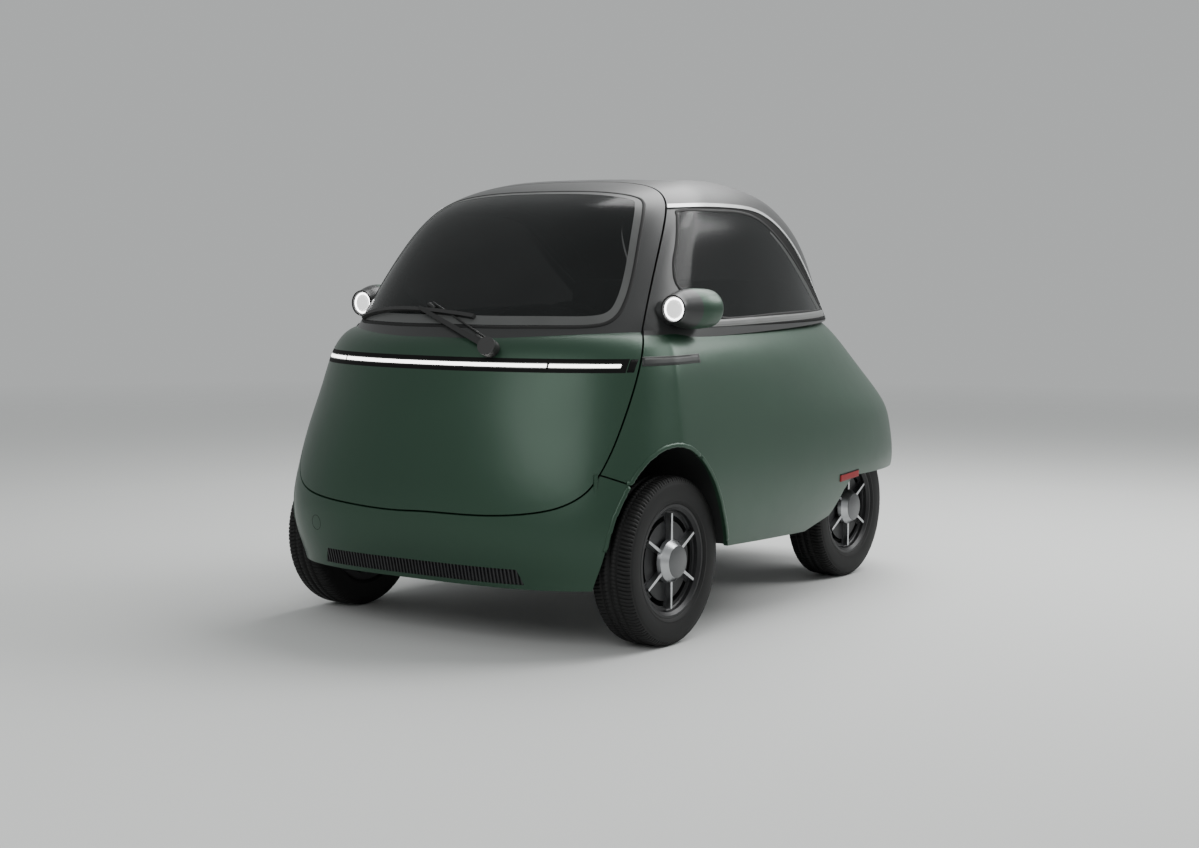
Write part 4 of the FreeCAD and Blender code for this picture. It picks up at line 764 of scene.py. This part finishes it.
# Wiper: nut cover on its boss, rod beside the arm, and covers at the arm's foot and at its joint
WIPER_PIVOT, WIPER_JOINT = Vector((0.225, -1.120, 0.926)), Vector((-0.109, -1.019, 1.052))
WIPER_OUT = Vector((0.25, -1, 0.35)).normalized()
NUT_COVER_FOOT = 0.010
NUT_COVER = [(0.0215, 0.0), (0.0215, 0.006), (0.0200, 0.010), (0.0150, 0.0140), (0.0080, 0.0160),
             (0.001, 0.0165)]
ROD_ASIDE, ROD_LIFT, ROD_BOW, ROD_RADIUS, ROD_SHARES = 0.013, 0.006, 0.004, 0.0030, (0.10, 0.97)
ARM_COVER_LIFT, ARM_COVERS = 0.007, [((0.06, 0.24), 0.0095), ((0.90, 1.0), 0.0075)]
turned("wiper_nut_cover", WIPER_PIVOT + WIPER_OUT * NUT_COVER_FOOT, WIPER_OUT, NUT_COVER, "front_door",
       WIPER_BLACK)
wiper_line = WIPER_JOINT - WIPER_PIVOT
wiper_side = wiper_line.normalized().cross(WIPER_OUT).normalized()
rod = [WIPER_PIVOT + wiper_line * t + wiper_side * ROD_ASIDE
       + WIPER_OUT * (ROD_LIFT + ROD_BOW * math.sin(math.pi * t)) for t in np.linspace(*ROD_SHARES, 12)]
tube("wiper_rod", rod, ROD_RADIUS, "front_door", WIPER_BLACK)
for k, (shares, radius) in enumerate(ARM_COVERS):
    spots = [WIPER_PIVOT + wiper_line * t + WIPER_OUT * ARM_COVER_LIFT for t in np.linspace(*shares, 7)]
    tube(f"wiper_cover_{k}", spots, radius, "front_door", WIPER_BLACK, 12)

# Small round cover in the bumper
COVER_X, COVER_Z, COVER_RADIUS, COVER_STEPS = -0.427, 0.343, 0.024, 40
COVER_SECTION = round_section(0.0016, 0.0004)
bumper_skin = skin("front_bumper")
cover_path = [meet(bumper_skin, Vector((COVER_X + COVER_RADIUS * math.cos(a), -FAR,
                                        COVER_Z + COVER_RADIUS * math.sin(a))), TO_REAR)
              for a in np.linspace(0, 2 * math.pi, COVER_STEPS, endpoint=False)]
bead("tow_eye_cover_seam", cover_path, COVER_SECTION, "root", JOINT_AND_SHADE_BLACK)

# Steering wheel: padded boss and a seam round the grip
WHEEL_CENTRE, WHEEL_AXIS = Vector((0.230, -0.640, 0.900)), Vector((0, 0.883, 0.469))
STEERING_PAD = [(0.047, 0.018), (0.047, 0.022), (0.044, 0.027), (0.034, 0.031), (0.018, 0.033),
                (0.001, 0.0335)]
GRIP_RING_RADIUS, GRIP_HALF, GRIP_SEAM_SECTION = 0.172, 0.0137, disc_section(0.003, 0.0022)
turned("steering_pad", WHEEL_CENTRE, WHEEL_AXIS, STEERING_PAD, "steering_wheel", LINING)
ring("steering_grip_seam", WHEEL_CENTRE, WHEEL_AXIS, GRIP_RING_RADIUS - GRIP_HALF, GRIP_SEAM_SECTION,
     "steering_wheel", JOINT_AND_SHADE_BLACK)

# Gauge hood on the dashboard bar, and a lining inside the door
HOOD_WIDTH, HOOD_RISE, HOOD_CROWN, HOOD_REAR, HOOD_FRONT = 0.150, 0.062, 0.7, -0.862, -0.955
HOOD_FOOT, HOOD_STEPS = 0.9955, 25
HOOD_RINGS = [(HOOD_FRONT, 0.80), (HOOD_FRONT + 0.01, 0.92), (HOOD_REAR - 0.004, 1.0), (HOOD_REAR, 0.97),
              (HOOD_REAR - 0.008, 0.90)]
hood = []
for y, grow in HOOD_RINGS:
    hood += [(WHEEL_CENTRE.x + HOOD_WIDTH * grow * math.cos(a), y,
              HOOD_FOOT + HOOD_RISE * grow * math.sin(a) ** HOOD_CROWN)
             for a in np.linspace(0, math.pi, HOOD_STEPS)]
hood_ends = [tuple(range(HOOD_STEPS)), tuple(range(len(hood) - HOOD_STEPS, len(hood)))[::-1]]
piece("gauge_hood", hood, grid_faces(len(HOOD_RINGS), HOOD_STEPS) + hood_ends, "front_door", LINING)

CABIN_Y = -0.3
LINING_HALF_WIDTH, LINING_LOW, LINING_RISE, LINING_THICKNESS = 0.46, 0.50, 0.33, 0.0025
PULL_HALF_WIDTH, PULL_HEIGHT, PULL_ARCH, PULL_STEPS = 0.30, 0.80, 0.012, 24
PULL_FOOT, PULL_REACH, PULL_RADIUS = 0.004, 0.030, 0.008
plate("door_lining", panel_skin,
      lambda u, v: Vector((LINING_HALF_WIDTH - 2 * LINING_HALF_WIDTH * u, CABIN_Y, LINING_LOW + LINING_RISE * v)),
      TO_FRONT, 40, 14, LINING_THICKNESS, "front_door", LINING)
pull = []
for share in np.linspace(0, 1, PULL_STEPS + 1):
    arch = math.sin(math.pi * share)
    found, normal = meet(panel_skin, Vector((-PULL_HALF_WIDTH + 2 * PULL_HALF_WIDTH * share, CABIN_Y,
                                             PULL_HEIGHT + PULL_ARCH * arch)), TO_FRONT)
    pull.append(found + normal * (PULL_FOOT + PULL_REACH * max(arch, 0) ** 0.5))
tube("door_pull", pull, PULL_RADIUS, "front_door", BLACK, 12)


# Springs round the front dampers and over the rear arms
COIL_STEPS, FLAT_TURNS, COIL_RISE, COIL_FOOT = 18, 0.08, 0.94, 0.03
DAMPER_FOOT, DAMPER_HEAD, DAMPER_SHARES = (0.468, -0.811, 0.182), (0.300, -0.811, 0.342), (0.16, 0.60)
FRONT_COIL_RADIUS, FRONT_WIRE, FRONT_TURNS = 0.030, 0.0045, 4
REAR_COIL_SPOT, REAR_COIL_HEIGHTS = (0.330, 0.744), (0.365, 0.560)
REAR_COIL_RADIUS, REAR_WIRE, REAR_TURNS = 0.036, 0.0055, 5.5


def coil(name, foot, head, radius, wire, turns):
    foot, head = Vector(foot), Vector(head)
    along = (head - foot).normalized()
    side = along.orthogonal().normalized()
    other = along.cross(side)
    path = []
    for k in range(int(turns * COIL_STEPS) + 1):
        t = k / (turns * COIL_STEPS)
        rise = min(max((t - FLAT_TURNS) / (1 - 2 * FLAT_TURNS), 0), 1) * COIL_RISE + COIL_FOOT
        angle = 2 * math.pi * turns * t
        path.append(foot + (head - foot) * rise + (side * math.cos(angle) + other * math.sin(angle)) * radius)
    return tube(name, path, wire, "root", CAST, 8)


for hand, sign in (("left", 1), ("right", -1)):
    foot, head = [Vector((sign * x, y, z)) for x, y, z in (DAMPER_FOOT, DAMPER_HEAD)]
    front_ends = [foot + (head - foot) * share for share in DAMPER_SHARES]
    coil(f"front_spring_{hand}", *front_ends, FRONT_COIL_RADIUS, FRONT_WIRE, FRONT_TURNS)
    rear_ends = [(sign * REAR_COIL_SPOT[0], REAR_COIL_SPOT[1], z) for z in REAR_COIL_HEIGHTS]
    coil(f"rear_spring_{hand}", *rear_ends, REAR_COIL_RADIUS, REAR_WIRE, REAR_TURNS)


# Bolt heads under the car
# shares of the size across flats and of the height, from the washer down to the head
BOLT_SECTION = [(0.75, 0.0), (0.75, 0.25), (0.5, 0.3), (0.5, 0.9), (0.42, 1.0)]
CROSS_MEMBER_BOLTS = [(sign * x, y, 0.1662) for sign in (1, -1) for x in (0.12, 0.26) for y in (-0.866, -0.756)]
FLOOR_BOLTS = [(sign * 0.36, y, 0.2842) for sign in (1, -1) for y in (-0.40, -0.10, 0.14)]


def bolt_heads(name, spots, across, height):
    vertices, faces = [], []
    for x, y, z in spots:
        start = len(vertices)
        for radius, drop in BOLT_SECTION:
            vertices += [(x + across * radius * math.cos(a), y + across * radius * math.sin(a), z - height * drop)
                         for a in (math.pi * k / 3 for k in range(6))]
        faces += [tuple(start + v for v in face) for face in grid_faces(len(BOLT_SECTION), 6, False, True)]
        faces.append(tuple(range(len(vertices) - 6, len(vertices))))
    return piece(name, vertices, faces, "root", STEEL, False)


bolt_heads("cross_member_bolts", CROSS_MEMBER_BOLTS, 0.017, 0.008)
bolt_heads("floor_bolts", FLOOR_BOLTS, 0.015, 0.006)

# Roof cloth stretched over its bows
CLOTH_HALF_WIDTH, CLOTH_FRONT, CLOTH_REAR, CLOTH_CORNER, CLOTH_HEM = 0.3345, -0.3175, 0.2615, 0.060, 0.010
CLOTH_ROWS, CLOTH_COLUMNS, CLOTH_BOWS, CLOTH_SAG, CLOTH_SINK = 72, 56, 4, 0.0030, 0.0005
SIDE_TUCK, END_TUCK, EDGE_FADE = 0.998, 0.001, 8
PULL_LINES, PULL_DEPTH = (34, 9), 0.0006
cover_skin = skin("sunroof_cover")
cloth = []
for i in range(CLOTH_ROWS + 3):
    v = min(max((i - 1) / CLOTH_ROWS, 0), 1)
    y = CLOTH_FRONT + (CLOTH_REAR - CLOTH_FRONT) * v
    inset = CLOTH_CORNER - min(y - CLOTH_FRONT, CLOTH_REAR - y, CLOTH_CORNER)
    reach = CLOTH_HALF_WIDTH - CLOTH_CORNER + math.sqrt(max(CLOTH_CORNER ** 2 - inset ** 2, 0))
    for j in range(CLOTH_COLUMNS + 3):
        u = min(max((j - 1) / CLOTH_COLUMNS, 0), 1) * 2 - 1
        above = Vector((reach * u * SIDE_TUCK, y + (END_TUCK - 2 * END_TUCK * v), FAR))
        spot = meet(cover_skin, above, DOWN)[0]
        edge = (1 - u * u) * min(1, EDGE_FADE * v, EDGE_FADE * (1 - v))
        sag = CLOTH_SAG * math.sin(math.pi * CLOTH_BOWS * v) ** 2 * edge
        pull_line = PULL_DEPTH * math.sin(PULL_LINES[0] * u + PULL_LINES[1] * v) * edge
        hem = CLOTH_HEM if i in (0, CLOTH_ROWS + 2) or j in (0, CLOTH_COLUMNS + 2) else 0
        cloth.append(spot - Vector((0, 0, sag + pull_line + hem + CLOTH_SINK)))
roof_cloth = piece("roof_cloth", cloth, grid_faces(CLOTH_ROWS + 3, CLOTH_COLUMNS + 3), "root", CANVAS)
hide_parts("sunroof_cover")


# Bench seat: pressed out of a smaller shape by cloth simulation, held at its sewn channels
CUSHION_ROOM, CUSHION_VOXEL, CUSHION_CAP, CUSHION_FRAMES, CUSHION_MARGIN = 0.012, 0.012, 0.016, 20, 0.0005
CUSHION_PRESSURE, CUSHION_QUALITY = 4, 4
CHANNELS, CHANNEL_WIDTH, CHANNEL_DEPTH = (-0.30, -0.12, 0.0, 0.12, 0.30), 0.016, 0.009
CHANNEL_START, SEWN_START, FACE_START, FOOT_START = 0.3, 0.8, 0.6, -0.7
BACK_LEAN = math.radians(14)
BACK_UP = Vector((0, math.sin(BACK_LEAN), math.cos(BACK_LEAN)))
SEAT_ROLL, BACK_ROLL = (Vector((0, 1, 0)), -0.15), (BACK_UP, 0.17)


def settle(thing):
    """Takes the result of a piece's modifiers as its mesh."""
    graph = bpy.context.evaluated_depsgraph_get()
    result = bpy.data.meshes.new_from_object(thing.evaluated_get(graph))
    thing.modifiers.clear()
    thing.data = result


def cushion(name, node, lean, roll):
    low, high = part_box(node)
    centre, half = (low + high) / 2, (high - low) / 2
    away = Vector((0, -math.sin(lean), math.cos(lean))).cross(Vector((1, 0, 0)))
    face_way = Vector((0, 0, 1)) if lean == 0 else -away if away.y > 0 else away
    block = bpy.data.objects.new(name, nodes[node].data.copy())
    bpy.context.scene.collection.objects.link(block)
    block.matrix_world = nodes[node].matrix_world.copy()
    room = Vector([(side - CUSHION_ROOM) / side for side in half])
    block.data.transform(block.matrix_world)
    block.matrix_world = Matrix()
    for vertex in block.data.vertices:
        vertex.co = centre + (vertex.co - centre) * room
    remesh = block.modifiers.new("even_mesh", "REMESH")
    remesh.mode, remesh.voxel_size = "VOXEL", CUSHION_VOXEL
    settle(block)
    block.data.update()
    held = block.vertex_groups.new(name="sewn")
    for vertex in block.data.vertices:
        along_face = vertex.co - centre
        facing = vertex.normal.dot(face_way)
        groove = max([math.exp(-((along_face.x - x) / CHANNEL_WIDTH) ** 2) for x in CHANNELS]
                     + [math.exp(-((along_face.dot(roll[0]) - roll[1]) / CHANNEL_WIDTH) ** 2)])
        if facing > FACE_START and groove > CHANNEL_START:
            vertex.co -= face_way * CHANNEL_DEPTH * groove
        if (facing > FACE_START and groove > SEWN_START) or facing < FOOT_START:
            held.add([vertex.index], 1.0, "REPLACE")
    before = [vertex.co.copy() for vertex in block.data.vertices]
    filling = block.modifiers.new("filling", "CLOTH")
    filling.settings.use_pressure, filling.settings.uniform_pressure_force = True, CUSHION_PRESSURE
    filling.settings.effector_weights.gravity = 0
    filling.settings.vertex_group_mass = "sewn"
    filling.settings.quality = CUSHION_QUALITY
    filling.point_cache.frame_start, filling.point_cache.frame_end = 1, CUSHION_FRAMES
    for frame_number in range(1, CUSHION_FRAMES + 1):
        bpy.context.scene.frame_set(frame_number)
    settle(block)
    for vertex, start in zip(block.data.vertices, before):
        shift = vertex.co - start
        if shift.length > CUSHION_CAP:
            vertex.co = start + shift * (CUSHION_CAP / shift.length)
        for side in range(3):
            inmost, outmost = low[side] + CUSHION_MARGIN, high[side] - CUSHION_MARGIN
            vertex.co[side] = min(max(vertex.co[side], inmost), outmost)
    bpy.context.scene.frame_set(1)
    finer = block.modifiers.new("finer", "SUBSURF")
    finer.levels = finer.render_levels = 1
    settle(block)
    block.data.materials.clear()
    block.data.materials.append(SEAT_CLOTH.material)
    block.data.polygons.foreach_set("use_smooth", [True] * len(block.data.polygons))
    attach(block, "root")
    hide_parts(node)
    return BVHTree.FromPolygons([v.co.copy() for v in block.data.vertices],
                                [tuple(f.vertices) for f in block.data.polygons])


seat_tree = cushion("seat_cushion", "seat_base", 0, SEAT_ROLL)
back_tree = cushion("back_cushion", "seat_back", BACK_LEAN, BACK_ROLL)

# Sewn lines of the bench seat
INTO_BACK = Vector((0, math.cos(BACK_LEAN), -math.sin(BACK_LEAN)))
SEAM_SECTION, SEAM_START, SEAM_POINTS = round_section(0.0035, 0.0016), 0.5, 60
SEAT_SEAM, BACK_SEAM_FOOT, BACK_SEAM_LENGTH = ((-0.170, 0.52), (0.09, 0.52)), (0.20, 0.66), 0.43


def seat_line(tree, start, finish, way):
    """Points on a cushion between two places, seen from outside it."""
    found = [tree.ray_cast(start + (finish - start) * t - way * SEAM_START, way)
             for t in np.linspace(0, 1, SEAM_POINTS)]
    return [(hit[0], hit[1] if hit[1].dot(way) < 0 else -hit[1]) for hit in found if hit[0]]


for k, x in enumerate(CHANNELS):
    foot = Vector((x, *BACK_SEAM_FOOT))
    lines = {"seat": seat_line(seat_tree, *[Vector((x, *end)) for end in SEAT_SEAM], DOWN),
             "back": seat_line(back_tree, foot, foot + BACK_UP * BACK_SEAM_LENGTH, INTO_BACK)}
    for part, path in lines.items():
        bead(f"{part}_seam_{k}", path, SEAM_SECTION, "root", JOINT_AND_SHADE_BLACK, False)

# Joints of the rear light bar
REAR_JOINTS, REAR_JOINT_WIDTH, REAR_JOINT_LOW, REAR_JOINT_RISE = (-0.13, 0.13), 0.004, 0.793, 0.038
rear_lens_skin = skin("rear_light_bar")
for k, x in enumerate(REAR_JOINTS):
    plate(f"rear_strip_joint_{k}", rear_lens_skin,
          lambda u, v: Vector((x + REAR_JOINT_WIDTH * (u - 0.5), FAR, REAR_JOINT_LOW + REAR_JOINT_RISE * v)),
          TO_FRONT, 1, 4, JOINT_LIFT, "hatch", JOINT_AND_SHADE_BLACK)

# Sill cover between the luggage floor and the rear panel
SILL_LOW, SILL_BEND, SILL_ROOM, SILL_WALL, SILL_UNDER = 0.505, 0.560, 0.055, 0.003, 0.0027
SILL_HALF_WIDTH, SILL_COLUMNS = 0.49, 41
SILL_LAP, SILL_EDGE, SILL_DROP, SILL_GAP = 0.020, 0.002, 0.004, 0.003
FLOOR_SEARCH, OVER_FLOOR, FLOOR_LEVEL, LUGGAGE_Y = np.arange(0.90, 1.20, 0.002), 0.70, 0.55, 0.80
floor_skin, rear_panel_skin = skin("floor_pan"), skin("rear_panel")
sill = []
for x in np.linspace(-SILL_HALF_WIDTH, SILL_HALF_WIDTH, SILL_COLUMNS):
    on_floor = [floor_skin.ray_cast(Vector((x, y, OVER_FLOOR)), DOWN)[0] for y in FLOOR_SEARCH]
    edge = [spot for spot in on_floor if spot and spot.z > FLOOR_LEVEL][-1]
    foot = rear_panel_skin.ray_cast(Vector((x, LUGGAGE_Y, SILL_LOW)), TO_REAR)[0]
    bend_y = max(edge.y + SILL_DROP, foot.y - SILL_ROOM)
    line = [Vector((x, y, z)) for y, z in (
        (edge.y - SILL_LAP, edge.z + SILL_WALL), (edge.y + SILL_EDGE, edge.z + SILL_WALL), (bend_y, SILL_BEND),
        (foot.y - SILL_GAP, SILL_LOW))]
    sill += line + [point + DOWN * SILL_UNDER for point in reversed(line)]
sill_ends = [tuple(range(8))[::-1], tuple(range(len(sill) - 8, len(sill)))]
piece("luggage_sill", sill, grid_faces(SILL_COLUMNS, 8, False, True) + sill_ends, "root", CARPET,
      False)

# Softened edges of the wheel spiders, faces of their caps, and valves
CORNERS = ("front_left", "front_right", "rear_left", "rear_right")
SPIDER_EDGE, SPIDER_ANGLE = 0.0012, math.radians(30)
HUB_FACE_SECTION = [(0.0505, -0.0010), (0.0505, 0.0004), (0.0495, 0.0008), (0.001, 0.0008)]
VALVE_RADIUS, VALVE_ANGLE, VALVE_OUT, VALVE_STATIONS, VALVE_HALF = 0.150, 0.52, 0.036, (0, 0.012, 0.022), 0.0042
for corner in CORNERS:
    bevel = nodes[f"hub_spider_{corner}"].modifiers.new("soft_edges", "BEVEL")
    bevel.width, bevel.segments, bevel.limit_method, bevel.angle_limit = SPIDER_EDGE, 2, "ANGLE", SPIDER_ANGLE
    low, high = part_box(f"wheel_{corner}")
    centre = (low + high) / 2
    sign = 1 if centre.x > 0 else -1
    cap_low, cap_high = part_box(f"hub_spider_{corner}")
    turned(f"hub_face_{corner}", (cap_high.x if sign > 0 else cap_low.x, centre.y, centre.z), (sign, 0, 0),
           HUB_FACE_SECTION, f"wheel_{corner}_body", HUB_FACE)
    valve = [Vector((centre.x + sign * (VALVE_OUT + out), centre.y + VALVE_RADIUS * math.cos(VALVE_ANGLE),
                     centre.z + VALVE_RADIUS * math.sin(VALVE_ANGLE))) for out in VALVE_STATIONS]
    tube(f"valve_{corner}", valve, VALVE_HALF, f"wheel_{corner}_body", GASKET, 10)


# Tyres: grooves and blocks are cut into a turned section
TREAD_PITCHES, GROOVE_DEPTH = 64, 0.0075
# share of a pitch, depth of lateral cuts
PITCH_STATIONS = [(0.00, 1), (0.16, 1), (0.19, 0), (0.50, 0), (0.53, 0.85), (0.60, 0.85), (0.63, 0), (0.97, 0)]
TREAD_SECTION = [
    # across share, radius share, depth of lateral cuts, depth of the groove round the tyre
    (0.000, 1.000, 0.0, 1.0), (0.055, 1.000, 0.0, 1.0), (0.070, 1.000, 0.0, 0.0), (0.200, 0.999, 0.35, 0.0),
    (0.330, 0.998, 0.35, 0.0), (0.345, 0.998, 0.0, 1.0), (0.430, 0.996, 0.0, 1.0), (0.445, 0.995, 0.0, 0.0),
    (0.470, 0.995, 1.0, 0.0), (0.600, 0.991, 1.0, 0.0), (0.700, 0.984, 1.0, 0.0), (0.780, 0.972, 1.0, 0.0),
    (0.845, 0.950, 1.0, 0.0), (0.895, 0.915, 1.0, 0.0), (0.930, 0.875, 0.8, 0.0), (0.950, 0.845, 0.0, 0.0),
]
WALL_SECTION = [
    (0.962, 0.815), (0.960, 0.795), (0.975, 0.780), (0.990, 0.700), (0.999, 0.600), (1.000, 0.500), (0.990, 0.400),
    (0.965, 0.300), (0.955, 0.255), (0.962, 0.245), (0.955, 0.225), (0.905, 0.185), (0.890, 0.150), (0.840, 0.130),
    (0.772, 0.110), (0.772, 0.000),
]
BEAD_RADIUS, CUT_SLANT, CUT_END = 0.165, 0.45, 0.95


def dress_tyre(corner):
    low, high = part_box(f"tyre_{corner}")
    centre, half_width, outer = (low + high) / 2, (high.x - low.x) / 2, (high.z - low.z) / 2
    section = TREAD_SECTION + [(a, r, 0, 0) for a, r in WALL_SECTION]
    section = [(-a, r, cut, groove) for a, r, cut, groove in reversed(section[1:])] + section
    pitch = 2 * math.pi / TREAD_PITCHES
    vertices = []
    for k in range(TREAD_PITCHES):
        for share, cut_share in PITCH_STATIONS:
            for a, r, cut, groove in section:
                angle = pitch * (k + share + CUT_SLANT * min(abs(a), CUT_END) + (0.5 if a < 0 else 0))
                sink = GROOVE_DEPTH * max(cut * cut_share, groove)
                radius = BEAD_RADIUS + (outer - BEAD_RADIUS) * r - sink
                turn = (a * half_width, radius * math.cos(angle), radius * math.sin(angle))
                vertices.append(centre + Vector(turn))
    around = TREAD_PITCHES * len(PITCH_STATIONS)
    faces = grid_faces(around, len(section), True, False)
    tyre = piece(f"dressed_tyre_{corner}", vertices, faces, f"wheel_{corner}_body", TYRE)
    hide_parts(f"tyre_{corner}")


for corner in CORNERS:
    dress_tyre(corner)


# Stage
FLOOR_HALF, FLOOR_TONE, FLOOR_ROUGHNESS, FADE_END, FADE_LENGTH = 40, (0.60, 0.61, 0.60), 0.8, 13, 9
SKY, SKY_STRENGTH = (0.78, 0.80, 0.80, 1), 0.62
# name, place, target, width, height, power
LIGHTS = [
    ("top_box", (0.5, 2.2, 4.6), (0, 0.0, 1), 5.0, 3.0, 335),
    ("rear_box", (4.6, 4.6, 5.0), (0.3, 0.3, 1.0), 4.4, 2.4, 330),
    ("front_box", (1.6, -6.4, 4.0), (0, -0.6, 0.7), 5.0, 3.0, 170),
]


def make_stage():
    ground = bpy.data.meshes.new("studio_floor")
    corners = [(x * FLOOR_HALF, y * FLOOR_HALF, 0) for x, y in ((-1, -1), (1, -1), (1, 1), (-1, 1))]
    ground.from_pydata(corners, [], [(0, 1, 2, 3)])
    plain = Finish("pale_floor", base_color=tone(*FLOOR_TONE), roughness=FLOOR_ROUGHNESS)
    out = plain.node("ShaderNodeVectorMath", {"operation": "LENGTH"}, [plain.place()], "Value")
    plain.wear(alpha=((FADE_END - out) / FADE_LENGTH).clamped())
    ground.materials.append(plain.material)
    floor = bpy.data.objects.new("studio_floor", ground)
    bpy.context.scene.collection.objects.link(floor)
    world = bpy.data.worlds.new("studio")
    world.use_nodes = True
    world.node_tree.nodes["Background"].inputs["Color"].default_value = SKY
    world.node_tree.nodes["Background"].inputs["Strength"].default_value = SKY_STRENGTH
    bpy.context.scene.world = world
    for name, spot, target, width, height, power in LIGHTS:
        data = bpy.data.lights.new(name, "AREA")
        data.shape, data.size, data.size_y, data.energy = "RECTANGLE", width, height, power
        light = bpy.data.objects.new(name, data)
        light.location = spot
        light.rotation_euler = (Vector(target) - Vector(spot)).to_track_quat("-Z", "Y").to_euler()
        bpy.context.scene.collection.objects.link(light)


make_stage()
